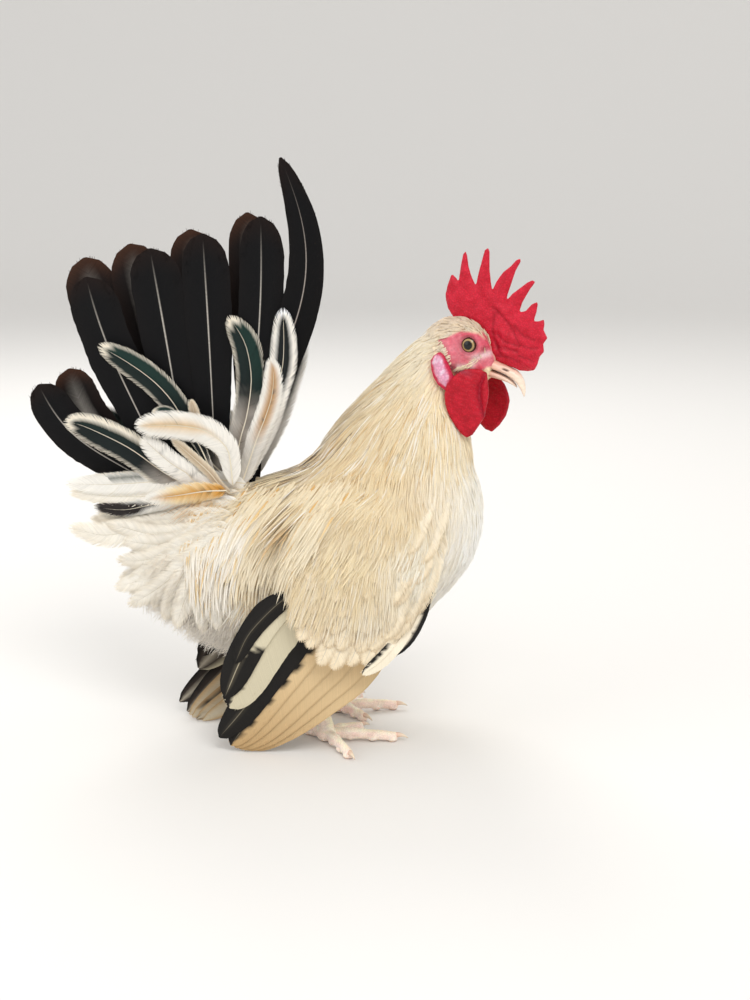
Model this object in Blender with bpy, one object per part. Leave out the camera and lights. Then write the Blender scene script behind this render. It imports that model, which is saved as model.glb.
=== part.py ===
"""A life-size Japanese bantam cock standing with drooped wings and an upright fanned tail.

Metres, +Z up. The bird faces +X, its left side is +Y, and it stands on the plane z = 0.
"""

import math

import bmesh
import bpy
from mathutils import Matrix, Vector

RIGHT, LEFT = -1, 1
SIDE_NAMES = {RIGHT: "right", LEFT: "left"}

# Clearances and wall sizes.
SEAT_INFLATE = 0.00036
VANE_THICK = 0.0007
VANE_PITCH = 0.00115
FLOOR_DEPTH = 0.05
FLOOR_SPAN = 1.0

# Torso rings from the breast back to the rump: x, lowest z, highest z, half width.
TORSO_RINGS = (
    (0.0845, 0.112, 0.134, 0.009),
    (0.079, 0.096, 0.150, 0.022),
    (0.068, 0.081, 0.160, 0.032),
    (0.052, 0.064, 0.164, 0.039),
    (0.032, 0.047, 0.162, 0.043),
    (0.008, 0.036, 0.156, 0.044),
    (-0.016, 0.033, 0.148, 0.042),
    (-0.040, 0.037, 0.140, 0.039),
    (-0.064, 0.046, 0.130, 0.034),
    (-0.086, 0.058, 0.117, 0.026),
    (-0.104, 0.072, 0.102, 0.014),
)
TORSO_SIDES = 20

# Neck rings from the shoulders up: nape x and z, throat x and z, half width, middle y.
NECK_RINGS = (
    (-0.010, 0.146, 0.070, 0.118, 0.0300, 0.0),
    (-0.006, 0.160, 0.078, 0.136, 0.0340, 0.0),
    (0.007, 0.177, 0.080, 0.156, 0.0290, 0.0),
    (0.022, 0.193, 0.077, 0.170, 0.0200, 0.0005),
    (0.036, 0.206, 0.072, 0.184, 0.0135, 0.0020),
    (0.048, 0.216, 0.072, 0.195, 0.0115, 0.0035),
    (0.058, 0.220, 0.076, 0.203, 0.0100, 0.0040),
)
NECK_SIDES = 18

# The head's own frame: midway between the eyes, level, then nodded down and turned to the right.
HEAD_PLACE = Vector((0.0785, 0.0022, 0.2133))
HEAD_TURN = math.radians(-12)
HEAD_NOD = math.radians(20)
HEAD_MATRIX = (
    Matrix.Translation(HEAD_PLACE)
    @ Matrix.Rotation(HEAD_TURN, 4, "Z")
    @ Matrix.Rotation(HEAD_NOD, 4, "Y")
)
# Skull and beak rings in the head's frame, back to front: x, lowest z, highest z, half width.
SKULL_RINGS = (
    (-0.026, -0.017, -0.002, 0.006),
    (-0.020, -0.021, 0.006, 0.0105),
    (-0.011, -0.0225, 0.0100, 0.0130),
    (-0.003, -0.0215, 0.0100, 0.0132),
    (0.004, -0.0190, 0.0068, 0.0118),
    (0.010, -0.0170, 0.0015, 0.0090),
    (0.0130, -0.0155, -0.0030, 0.0062),
)
UPPER_BEAK_RINGS = (
    (0.0060, -0.0092, -0.0030, 0.0058),
    (0.0120, -0.0090, -0.0040, 0.0052),
    (0.0190, -0.0088, -0.0046, 0.0044),
    (0.0245, -0.0098, -0.0048, 0.0036),
    (0.0290, -0.0118, -0.0072, 0.0026),
    (0.0318, -0.0144, -0.0105, 0.0016),
    (0.0334, -0.0160, -0.0142, 0.0007),
)
LOWER_BEAK_RINGS = (
    (0.0060, -0.0150, -0.0097, 0.0052),
    (0.0120, -0.0138, -0.0095, 0.0046),
    (0.0190, -0.0128, -0.0093, 0.0038),
    (0.0245, -0.0126, -0.0103, 0.0026),
    (0.0282, -0.0134, -0.0122, 0.0012),
)
NOSTRIL_PLACE = (0.0186, 0.0038, -0.0057)
NOSTRIL_SIZE = (0.0016, 0.0012, 0.0007)
EYE_PLACE = (0.0, 0.0092, 0.0)
EYE_RADIUS = 0.0048
LID_RADIUS = 0.0043
LID_THICK = 0.0009
LID_OUT = 0.0124

# Comb in the head's frame. Points: tip x and z, root x and z, half width at the root.
COMB_POINTS = (
    (-0.0252, 0.0275, -0.0150, 0.0130, 0.0052),
    (-0.0220, 0.0406, -0.0130, 0.0150, 0.0056),
    (-0.0112, 0.0467, -0.0060, 0.0150, 0.0054),
    (0.0057, 0.0476, 0.0020, 0.0140, 0.0054),
    (0.0174, 0.0402, 0.0090, 0.0140, 0.0054),
    (0.0225, 0.0309, 0.0150, 0.0130, 0.0048),
    (0.0292, 0.0241, 0.0200, 0.0110, 0.0046),
    (0.0345, 0.0158, 0.0230, 0.0090, 0.0044),
    (0.0350, 0.0070, 0.0240, 0.0050, 0.0044),
    (0.0338, -0.0010, 0.0240, 0.0020, 0.0040),
)
COMB_ROOT_THICK = 0.0024
COMB_TIP_THICK = 0.0007
# Blade lobes: centre x, z, half length, half thickness, half height.
COMB_LOBES = (
    (-0.0135, 0.0170, 0.0105, 0.0024, 0.0088),
    (-0.0010, 0.0150, 0.0135, 0.0029, 0.0120),
    (0.0125, 0.0095, 0.0130, 0.0036, 0.0135),
    (0.0230, 0.0050, 0.0105, 0.0044, 0.0100),
)
# Fleshy folds down the comb's front, on both faces: centre x, side, z, three half sizes.
COMB_FOLDS = (
    (0.0150, 0.0030, 0.0020, 0.0060, 0.0022, 0.0026),
    (0.0230, 0.0036, 0.0080, 0.0066, 0.0020, 0.0022),
    (0.0255, 0.0038, -0.0008, 0.0050, 0.0020, 0.0026),
)
WATTLE_TOP = (0.0052, 0.0088, -0.0155)
WATTLE_LENGTH = 0.0305
WATTLE_HALF_WIDTH = 0.0102
WATTLE_THICK = 0.0016
WATTLE_HANG = math.radians(24)
WATTLE_FLARE = 0.0034
WATTLE_SKEW = 0.34
LOBE_PLACE = (-0.0075, 0.0142, -0.0175)
LOBE_SIZE = (0.0103, 0.0040, 0.0050)
LOBE_TILT = math.radians(55)

# Wing arm rings from the wrist back: x, lowest z, highest z, middle y, half thickness.
WING_RINGS = (
    (0.0700, 0.094, 0.112, 0.0440, 0.0030),
    (0.0620, 0.080, 0.130, 0.0455, 0.0065),
    (0.0460, 0.067, 0.140, 0.0485, 0.0080),
    (0.0240, 0.058, 0.142, 0.0500, 0.0086),
    (0.0020, 0.062, 0.134, 0.0495, 0.0080),
    (-0.0130, 0.076, 0.118, 0.0480, 0.0050),
)
WING_SIDES = 14
WING_FIRST_Y = 0.0425
# Primaries and secondaries: how many, first and last root, first and last tip (x, z), half width.
PRIMARIES = (7, (0.052, 0.080), (0.020, 0.072), (-0.026, 0.0006), (-0.043, 0.014), 0.0082)
SECONDARIES = (7, (0.016, 0.072), (0.000, 0.100), (-0.047, 0.020), (-0.043, 0.058), 0.0084)
# How far the flight feathers' tips swing inwards and backwards. The left wing hangs further in.
WING_SWING = {RIGHT: (-0.002, 0.0, 0.0), LEFT: (0.034, 0.048, 0.012)}
# Covert tiers: how many, first and last tip (x, z), length, half width.
COVERT_TIERS = (
    (5, (0.026, 0.050), (-0.014, 0.066), 0.036, 0.0052),
    (5, (0.034, 0.063), (-0.010, 0.081), 0.034, 0.0056),
    (5, (0.042, 0.078), (-0.004, 0.096), 0.032, 0.0058),
    (5, (0.048, 0.095), (0.004, 0.110), 0.028, 0.0058),
)
COVERT_LEVEL = 0.0564
COVERT_RISE = 0.0032
# The three feathers of the thumb along the wing's front edge: root and tip (x, z).
ALULA = (((0.062, 0.098), (0.033, 0.055)), ((0.062, 0.104), (0.046, 0.072)))
ALULA_HALF_WIDTH = 0.0050

# The tail, as seen from the side. Each feather: root x and z, tip x and z, half width, forward bow.
TAIL_CORE_PLACE = (-0.064, 0.0, 0.128)
TAIL_CORE_SIZE = (0.0310, 0.0185, 0.0150)
TAIL_CORE_TURN = math.radians(-12)
TAIL_FIRST_Y = 0.0014
TAIL_SPLAY = 0.38
RIGHT_FAN = (
    (-0.086, 0.124, -0.160, 0.186, 0.0125, -0.009),
    (-0.085, 0.129, -0.129, 0.2445, 0.0144, -0.004),
    (-0.076, 0.133, -0.0925, 0.260, 0.0144, 0.0),
    (-0.061, 0.134, -0.063, 0.268, 0.0132, 0.0),
    (-0.044, 0.134, -0.031, 0.277, 0.0120, 0.002),
)
LEFT_FAN = (
    (-0.086, 0.124, -0.147, 0.1935, 0.0125, -0.009),
    (-0.085, 0.129, -0.1375, 0.2535, 0.0144, -0.004),
    (-0.076, 0.133, -0.112, 0.261, 0.0144, 0.0),
    (-0.061, 0.134, -0.078, 0.269, 0.0132, 0.0),
    (-0.044, 0.134, -0.047, 0.278, 0.0120, 0.002),
)
SICKLES = {
    RIGHT: (-0.050, 0.136, -0.0190, 0.3063, 0.0100, 0.0215),
    LEFT: (-0.050, 0.136, -0.0260, 0.3010, 0.0100, 0.0195),
}
HANGERS = (
    (-0.060, 0.136, -0.1173, 0.2100, 0.0062, 0.009),
    (-0.050, 0.136, -0.0473, 0.2306, 0.0068, 0.009),
    (-0.046, 0.136, -0.0183, 0.2315, 0.0078, 0.007),
    (-0.048, 0.136, -0.0270, 0.2070, 0.0062, 0.006),
    (-0.070, 0.130, -0.1356, 0.1695, 0.0068, -0.004),
    (-0.056, 0.136, -0.0962, 0.1700, 0.0074, 0.013),
    (-0.072, 0.126, -0.1330, 0.1510, 0.0066, -0.003),
    (-0.074, 0.122, -0.1440, 0.1338, 0.0078, 0.004),
)

# Cushion plumes over the rump and vent: angle, length, half width. They lie in planes side by side.
PLUME_ROOT = (-0.070, 0.100)
PLUMES = (
    (78.0, 0.076, 0.0085),
    (92.0, 0.074, 0.0090),
    (106.0, 0.054, 0.0090),
    (122.0, 0.048, 0.0090),
    (140.0, 0.050, 0.0090),
    (158.0, 0.052, 0.0090),
)
PLUME_FIRST_Y = 0.004
PLUME_STEP_Y = 0.0042

# Hackle feathers: tiers down the neck as shares of its height, and how many round it.
HACKLE_TIERS = ((0.66, 0.32, 10), (0.44, 0.04, 12))
THROAT_BARE = 1.1
HACKLE_HALF_WIDTH = 0.0070
HACKLE_LIFT = 0.0036

# Legs. The right foot is in front of the viewer; toes end where their claws start.
THIGH_TOP = (0.022, 0.0225, 0.066)
HOCK = (-0.008, 0.0225, 0.040)
THIGH_TOP_RADIUS = 0.0180
THIGH_LOW_RADIUS = 0.0062
ANKLE_HEIGHT = 0.0072
SHANK_RADIUS = 0.0040
SHANK_SCUTES = 5
TOE_SCUTES = 3
SCUTE_STEP = 0.0004
TOE_RADIUS = 0.0033
TOE_TIP_RADIUS = 0.0022
TOE_HEIGHT = 0.0029
CLAW_LENGTH = 0.0085
CLAW_DROP = 0.0012
# Where each ankle stands, then where the toes end (x, y): inner, middle, outer and hind.
RIGHT_ANKLE, LEFT_ANKLE = (0.0035, -0.0214), (-0.0013, 0.0247)
RIGHT_TOES = ((0.0180, -0.0020), (0.0400, -0.0140), (0.0215, -0.0450), (-0.0090, -0.0130))
LEFT_TOES = ((0.0165, 0.0130), (0.0300, 0.0360), (0.0060, 0.0490), (-0.0140, 0.0175))
TOE_NAMES = ("inner", "middle", "outer", "hind")
SPUR_LENGTH = 0.009
SPUR_RADIUS = 0.0024

BUFF = (0.80, 0.62, 0.38)
BLACK = (0.020, 0.020, 0.022)
COMB_RED = (0.62, 0.012, 0.040)
FACE_PINK = (0.66, 0.16, 0.17)
HORN = (0.78, 0.60, 0.46)
SHANK_SKIN = (0.80, 0.58, 0.42)
EYE_BROWN = (0.10, 0.065, 0.03)


def material(name, colour, roughness):
    """A Principled material, made once for each name."""
    found = bpy.data.materials.get(name)
    if found:
        return found
    made = bpy.data.materials.new(name)
    made.use_nodes = True
    shader = made.node_tree.nodes["Principled BSDF"]
    shader.inputs["Base Color"].default_value = (*colour, 1.0)
    shader.inputs["Roughness"].default_value = roughness
    return made


def finish_mesh(name, bm):
    """Turns a bmesh into an object in the bird's collection, with its faces pointing out."""
    bmesh.ops.recalc_face_normals(bm, faces=bm.faces)
    mesh = bpy.data.meshes.new(name)
    bm.to_mesh(mesh)
    bm.free()
    made = bpy.data.objects.new(name, mesh)
    BIRD.objects.link(made)
    return made


def loft(name, rings, matrix=None):
    """A closed skin over rings of points. Each end closes on the middle of its ring."""
    bm = bmesh.new()
    loops = [[bm.verts.new(point) for point in ring] for ring in rings]
    count = len(rings[0])
    for lower, upper in zip(loops, loops[1:]):
        for i in range(count):
            j = (i + 1) % count
            bm.faces.new((lower[i], lower[j], upper[j], upper[i]))
    for loop in (loops[0], loops[-1]):
        middle = sum((v.co for v in loop), Vector()) / count
        pole = bm.verts.new(middle)
        for i in range(count):
            bm.faces.new((loop[i], loop[(i + 1) % count], pole))
    if matrix is not None:
        bm.transform(matrix)
    bmesh.ops.triangulate(bm, faces=bm.faces)
    return finish_mesh(name, bm)


def upright_ring(x, low, high, half_width, sides, middle_y=0.0, square=2.3):
    """A ring across the X axis, a little squarer than an ellipse."""
    ring = []
    for i in range(sides):
        turn = 2 * math.pi * i / sides
        across = math.copysign(abs(math.sin(turn)) ** (2 / square), math.sin(turn))
        rise = math.copysign(abs(math.cos(turn)) ** (2 / square), math.cos(turn))
        ring.append(Vector((x, middle_y + half_width * across, (low + high) / 2 + (high - low) / 2 * rise)))
    return ring


def tube_ring(centre, along, radius, sides, flat=1.0):
    """A ring round a direction. Flat is its height as a share of its width."""
    across = along.cross(Vector((0, 0, 1)))
    if across.length < 1e-4:
        across = Vector((0, 1, 0))
    across.normalize()
    rise = across.cross(along).normalized()
    return [
        centre
        + across * radius * math.cos(2 * math.pi * i / sides)
        + rise * radius * flat * math.sin(2 * math.pi * i / sides)
        for i in range(sides)
    ]


def blob(name, centre, sizes, matrix=None, turn=0.0, segments=12, rings=8):
    """An ellipsoid from a UV sphere, turned about the Y axis and then placed."""
    bm = bmesh.new()
    bmesh.ops.create_uvsphere(bm, u_segments=segments, v_segments=rings, radius=1.0)
    place = (
        Matrix.Translation(Vector(centre))
        @ Matrix.Rotation(turn, 4, "Y")
        @ Matrix.Diagonal((*sizes, 1.0))
    )
    bm.transform(place if matrix is None else matrix @ place)
    bmesh.ops.triangulate(bm, faces=bm.faces)
    return finish_mesh(name, bm)


def feather_width(share, root_share, blunt):
    """Half width along a vane as a share of the widest: narrow root, full middle, rounded end."""
    opening = root_share + (1 - root_share) * min(1.0, share / 0.45) ** 0.7
    closing = max(0.0, 1 - (max(0.0, share - blunt) / (1 - blunt)) ** 2) ** 0.5
    return opening * max(0.26, closing)


def vane(name, spine, across, outward, half_width, steps=4, thick=VANE_THICK, root_share=0.35, blunt=0.74):
    """A flat feather: a grid one cell wide laid along a spine, then thickened by its own depth.

    spine, across and outward are functions of the share from root (0) to tip (1).
    Both faces are split into triangles alike, because the second is a copy of the first.
    """
    bm = bmesh.new()
    bmesh.ops.create_grid(bm, x_segments=1, y_segments=steps, size=1.0)
    bmesh.ops.triangulate(bm, faces=bm.faces, quad_method="FIXED")
    made = bmesh.ops.extrude_face_region(bm, geom=list(bm.faces), use_keep_orig=True)
    back = {item for item in made["geom"] if isinstance(item, bmesh.types.BMVert)}
    for vert in bm.verts:
        share = 1 - ((1 - vert.co.y) / 2) ** 1.6
        side = vert.co.x * half_width * feather_width(share, root_share, blunt)
        depth = -thick / 2 if vert in back else thick / 2
        vert.co = spine(share) + across(share) * side + outward(share) * depth
    return finish_mesh(name, bm)


def keep_largest(obj):
    """Leaves only the object's largest closed surface."""
    bm = bmesh.new()
    bm.from_mesh(obj.data)
    bm.verts.ensure_lookup_table()
    left = set(bm.verts)
    groups = []
    while left:
        group, edge_of = set(), [left.pop()]
        while edge_of:
            vert = edge_of.pop()
            group.add(vert)
            for edge in vert.link_edges:
                other = edge.other_vert(vert)
                if other in left:
                    left.remove(other)
                    edge_of.append(other)
        groups.append(group)
    spans = [
        math.prod(max(v.co[i] for v in group) - min(v.co[i] for v in group) for i in range(3))
        for group in groups
    ]
    kept = groups[spans.index(max(spans))]
    bmesh.ops.delete(bm, geom=[v for v in bm.verts if v not in kept], context="VERTS")
    bm.to_mesh(obj.data)
    bm.free()


def apply_boolean(obj, operation, collection):
    """Applies one Boolean against a collection of closed meshes, then removes the collection's objects."""
    cut = obj.modifiers.new("join", "BOOLEAN")
    cut.operation = operation
    cut.solver = "MANIFOLD"
    cut.operand_type = "COLLECTION"
    cut.collection = collection
    graph = bpy.context.evaluated_depsgraph_get()
    result = bpy.data.meshes.new_from_object(obj.evaluated_get(graph))
    obj.modifiers.remove(cut)
    old = obj.data
    obj.data = result
    bpy.data.meshes.remove(old)
    for item in list(collection.objects):
        bpy.data.objects.remove(item)


def operands(items):
    """Moves objects into a hidden collection that a Boolean reads."""
    for item in items:
        BIRD.objects.unlink(item)
        CUTTERS.objects.link(item)
        item.hide_render = True
        item.display_type = "WIRE"
    return CUTTERS


def fuse(name, pieces, look):
    """Joins closed pieces into one body and gives it its name and material."""
    base, rest = pieces[0], pieces[1:]
    if rest:
        apply_boolean(base, "UNION", operands(rest))
    keep_largest(base)
    base.name = name
    base.data.name = name
    base.data.materials.clear()
    base.data.materials.append(look)
    return base


def swollen(obj, by=SEAT_INFLATE):
    """A copy whose surface stands out by the seat gap, to cut a neighbour with."""
    copy = bpy.data.objects.new(obj.name + "_cutter", obj.data.copy())
    BIRD.objects.link(copy)
    bm = bmesh.new()
    bm.from_mesh(copy.data)
    bm.normal_update()
    shifts = {vert: vert.normal * by * vert.calc_shell_factor() for vert in bm.verts}
    for vert, shift in shifts.items():
        vert.co += shift
    bm.to_mesh(copy.data)
    bm.free()
    return copy


def seat(obj, *parents):
    """Cuts an object clear of what it grows from, so that the two meet across the seat gap."""
    for parent in parents:
        apply_boolean(obj, "DIFFERENCE", operands([swollen(parent)]))
    keep_largest(obj)
    return obj


def stand_on_floor(obj):
    """Cuts away what would reach below the floor and leaves a small flat at z = 0."""
    bpy.ops.mesh.primitive_cube_add(size=1.0, location=(0, 0, -FLOOR_DEPTH / 2))
    floor = bpy.context.object
    floor.scale = (FLOOR_SPAN, FLOOR_SPAN, FLOOR_DEPTH)
    bpy.context.view_layer.update()
    floor.data.transform(floor.matrix_world)
    floor.matrix_world = Matrix.Identity(4)
    for owner in list(floor.users_collection):
        owner.objects.unlink(floor)
    BIRD.objects.link(floor)
    apply_boolean(obj, "DIFFERENCE", operands([floor]))
    keep_largest(obj)
    return obj


def make_torso():
    """The body from breast to rump, with the cushion plumes over the vent."""
    rings = [upright_ring(x, low, high, half, TORSO_SIDES) for x, low, high, half in TORSO_RINGS]
    pieces = [loft("torso_core", rings)]
    root = Vector((PLUME_ROOT[0], 0, PLUME_ROOT[1]))
    for side in (RIGHT, LEFT):
        for i, (angle, length, half) in enumerate(PLUMES):
            turn = math.radians(angle)
            along = Vector((-math.sin(turn), 0, math.cos(turn)))
            forward = Vector((math.cos(turn), 0, math.sin(turn)))
            level = Vector((0, side * (PLUME_FIRST_Y + i * PLUME_STEP_Y), 0))
            pieces.append(
                vane(
                    "plume",
                    lambda s, a=along, y=level, n=length: root + y + a * n * s,
                    lambda s, f=forward: f,
                    lambda s, e=side: Vector((0, e, 0)),
                    half,
                )
            )
    return fuse("torso", pieces, material("buff_feather", BUFF, 0.8))


def neck_surface(height, turn):
    """A point on the neck's skin and its outward direction; height 0 is the shoulders, 1 the head."""
    place = height * (len(NECK_RINGS) - 1)
    i = min(int(place), len(NECK_RINGS) - 2)
    share = place - i
    nape_x, nape_z, throat_x, throat_z, half, middle = (
        a + (b - a) * share for a, b in zip(NECK_RINGS[i], NECK_RINGS[i + 1])
    )
    nape, throat = Vector((nape_x, middle, nape_z)), Vector((throat_x, middle, throat_z))
    deep = (throat - nape) / 2
    side = Vector((0, half, 0))
    point = (nape + throat) / 2 - deep * math.cos(turn) + side * math.sin(turn)
    out = -deep.normalized() * math.cos(turn) / deep.length + Vector((0, math.sin(turn) / half, 0))
    return point, out.normalized()


def make_neck(torso):
    """The neck and its cape of hackle feathers, cut to sit on the shoulders."""
    rings = []
    for i in range(len(NECK_RINGS)):
        height = i / (len(NECK_RINGS) - 1)
        rings.append([neck_surface(height, 2 * math.pi * k / NECK_SIDES)[0] for k in range(NECK_SIDES)])
    pieces = [loft("neck_core", rings)]
    for tier, (top, low, count) in enumerate(HACKLE_TIERS):
        for k in range(count):
            turn = 2 * math.pi * (k + 0.5 * (tier % 2) + 0.25) / count
            if tier == 0 and abs(turn - math.pi) < THROAT_BARE:
                continue

            def spine(share, top=top, low=low, turn=turn):
                point, out = neck_surface(top + (low - top) * share, turn)
                return point + out * (HACKLE_LIFT * share - 1.6 * VANE_THICK)

            def out(share, top=top, low=low, turn=turn):
                return neck_surface(top + (low - top) * share, turn)[1]

            def across(share, spine=spine, out=out):
                along = spine(min(1.0, share + 0.05)) - spine(max(0.0, share - 0.05))
                return along.cross(out(share)).normalized()

            pieces.append(vane("hackle", spine, across, out, HACKLE_HALF_WIDTH, root_share=0.5, blunt=0.55))
    neck = fuse("neck", pieces, material("buff_feather", BUFF, 0.8))
    return seat(neck, torso)


def head_rings(stations, sides, square=2.2):
    return [upright_ring(x, low, high, half, sides, square=square) for x, low, high, half in stations]


def make_head(neck, torso, eyes):
    """The skull with a lid ring round each eye, cut to hold the eyes and to sit on the neck."""
    pieces = [loft("skull", head_rings(SKULL_RINGS, 16), HEAD_MATRIX)]
    for side in (RIGHT, LEFT):
        bm = bmesh.new()
        ring_count, tube_count = 14, 6
        bmesh.ops.create_circle(bm, segments=tube_count, radius=LID_THICK)
        bm.transform(Matrix.Translation((LID_RADIUS, 0, 0)) @ Matrix.Rotation(math.pi / 2, 4, "X"))
        bmesh.ops.spin(
            bm,
            geom=list(bm.verts) + list(bm.edges),
            cent=(0, 0, 0),
            axis=(0, 0, 1),
            angle=2 * math.pi,
            steps=ring_count,
            use_merge=True,
        )
        bmesh.ops.remove_doubles(bm, verts=bm.verts, dist=0.00001)
        place = Matrix.Translation((EYE_PLACE[0], side * LID_OUT, EYE_PLACE[2]))
        bm.transform(HEAD_MATRIX @ place @ Matrix.Rotation(math.pi / 2, 4, "X"))
        bmesh.ops.triangulate(bm, faces=bm.faces)
        pieces.append(finish_mesh("lid", bm))
    head = fuse("head", pieces, material("face_skin", FACE_PINK, 0.55))
    return seat(head, *eyes, neck, torso)


def make_eye(side):
    eye = blob("eye_core", (EYE_PLACE[0], side * EYE_PLACE[1], EYE_PLACE[2]), (EYE_RADIUS,) * 3, HEAD_MATRIX)
    return fuse("eye_" + SIDE_NAMES[side], [eye], material("eye", EYE_BROWN, 0.1))


def make_beak(head):
    """The two halves of the bill, with the line of the mouth between them and a nostril each side."""
    horn = material("beak_horn", HORN, 0.35)
    upper = loft("beak_upper_core", head_rings(UPPER_BEAK_RINGS, 12, 2.0), HEAD_MATRIX)
    holes = []
    for side in (RIGHT, LEFT):
        place = (NOSTRIL_PLACE[0], side * NOSTRIL_PLACE[1], NOSTRIL_PLACE[2])
        holes.append(blob("nostril", place, NOSTRIL_SIZE, HEAD_MATRIX, segments=8, rings=6))
    apply_boolean(upper, "DIFFERENCE", operands(holes))
    upper = seat(fuse("beak_upper", [upper], horn), head)
    lower = loft("beak_lower_core", head_rings(LOWER_BEAK_RINGS, 12, 2.0), HEAD_MATRIX)
    lower = seat(fuse("beak_lower", [lower], horn), head, upper)
    return upper, lower


def make_comb(head, upper_beak, neck):
    """The upright single comb: a thick blade of lobes with a fan of points and folds down its front."""
    pieces = [
        blob("lobe", (x, 0, z), (long, thick, tall), HEAD_MATRIX, segments=12, rings=8)
        for x, z, long, thick, tall in COMB_LOBES
    ]
    for tip_x, tip_z, root_x, root_z, half in COMB_POINTS:
        root, tip = Vector((root_x, 0, root_z)), Vector((tip_x, 0, tip_z))
        along = (tip - root).normalized()
        wide = Vector((-along.z, 0, along.x))
        rings = []
        for share in (0.0, 0.35, 0.65, 0.88, 1.0):
            reach = half * (1 - share) ** 0.8 + 0.0005
            thick = COMB_ROOT_THICK + (COMB_TIP_THICK - COMB_ROOT_THICK) * share
            rings.append(
                [
                    root.lerp(tip, share)
                    + wide * reach * math.cos(math.pi * k / 3)
                    + Vector((0, thick * math.sin(math.pi * k / 3), 0))
                    for k in range(6)
                ]
            )
        pieces.append(loft("point", rings, HEAD_MATRIX))
    for x, y, z, long, thick, tall in COMB_FOLDS:
        for side in (RIGHT, LEFT):
            size = (long, thick, tall)
            pieces.append(blob("fold", (x, side * y, z), size, HEAD_MATRIX, turn=0.5, segments=8, rings=6))
    comb = fuse("comb", pieces, material("comb_flesh", COMB_RED, 0.5))
    return seat(comb, head, upper_beak, neck)


def make_wattle(side, head, neck, beak):
    """A hanging leaf of flesh with a thicker rim, under the jaw."""
    top = Vector((WATTLE_TOP[0], side * WATTLE_TOP[1], WATTLE_TOP[2]))
    down = Vector((math.sin(WATTLE_HANG), 0, -math.cos(WATTLE_HANG)))
    wide = Vector((math.cos(WATTLE_HANG), -side * WATTLE_SKEW, math.sin(WATTLE_HANG)))
    rings = []
    for share in (-0.08, 0.1, 0.3, 0.55, 0.78, 0.93, 1.0):
        rounding = math.sin(math.pi * min(0.97, 0.12 + 0.86 * max(0.0, share))) ** 0.6
        reach = WATTLE_HALF_WIDTH * max(0.12, rounding)
        curl = 0.0022 * math.sin(math.pi * max(0.0, share))
        middle = top + down * WATTLE_LENGTH * share + Vector((0, side * (curl + WATTLE_FLARE * share), 0))
        ring = []
        for k in range(10):
            turn = math.pi * k / 5
            out = WATTLE_THICK * math.sin(turn) + side * 0.0016 * math.cos(turn) ** 2
            ring.append(middle + wide * reach * math.cos(turn) + Vector((0, out, 0)))
        rings.append(ring)
    leaf = loft("leaf", rings, HEAD_MATRIX)
    wattle = fuse("wattle_" + SIDE_NAMES[side], [leaf], material("comb_flesh", COMB_RED, 0.5))
    return seat(wattle, head, neck, *beak)


def make_earlobe(side, head, neck, wattle):
    place = (LOBE_PLACE[0], side * LOBE_PLACE[1], LOBE_PLACE[2])
    lobe = blob("lobe", place, LOBE_SIZE, HEAD_MATRIX, turn=LOBE_TILT)
    lobe = fuse("earlobe_" + SIDE_NAMES[side], [lobe], material("comb_flesh", COMB_RED, 0.5))
    return seat(lobe, head, neck, wattle)


def side_vane(
    name, root, tip, half_width, bow, level, side, splay=None, steps=4, rise=0.0, lean=1.4, **shape
):
    """A feather seen flat from the side. Level is its distance out from the middle; rise leans its tip out."""
    start, end = Vector((root[0], 0, root[1])), Vector((tip[0], 0, tip[1]))
    chord = end - start
    forward = Vector((chord.z, 0, -chord.x)).normalized()

    def spine(share):
        flat = start + chord * share + forward * bow * math.sin(math.pi * share**1.6)
        away = rise * share**lean if splay is None else splay(flat)
        return flat + Vector((0, side * (level + away), 0))

    def across(share):
        along = spine(min(1.0, share + 0.04)) - spine(max(0.0, share - 0.04))
        return Vector((along.z, 0, -along.x)).normalized()

    return vane(name, spine, across, lambda share: Vector((0, side, 0)), half_width, steps=steps, **shape)


def tail_splay(point):
    """How far the two fans lean apart, growing with the square of the distance from the tail's root."""
    reach = (point - Vector(TAIL_CORE_PLACE)).length
    return TAIL_SPLAY * max(0.0, reach) ** 2


def make_tail(torso):
    """Two fans of main feathers, a sickle each side, and the shorter hangers over them."""
    pieces = [blob("tail_core", TAIL_CORE_PLACE, TAIL_CORE_SIZE, turn=TAIL_CORE_TURN, segments=16, rings=10)]
    for side, fan in ((RIGHT, RIGHT_FAN), (LEFT, LEFT_FAN)):
        level = TAIL_FIRST_Y
        for rows, steps in ((fan, 5), ((SICKLES[side],), 8), (HANGERS, 5)):
            for root_x, root_z, tip_x, tip_z, half, bow in rows:
                root, tip = (root_x, root_z), (tip_x, tip_z)
                pieces.append(side_vane("tail_vane", root, tip, half, bow, level, side, tail_splay, steps))
                level += VANE_PITCH
    tail = fuse("tail", pieces, material("tail_feather", BLACK, 0.45))
    return seat(tail, torso)


def spread(first, last, count):
    """Evenly spaced places between two (x, z) points."""
    return [
        tuple(a + (b - a) * i / max(1, count - 1) for a, b in zip(first, last))
        for i in range(count)
    ]


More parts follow.
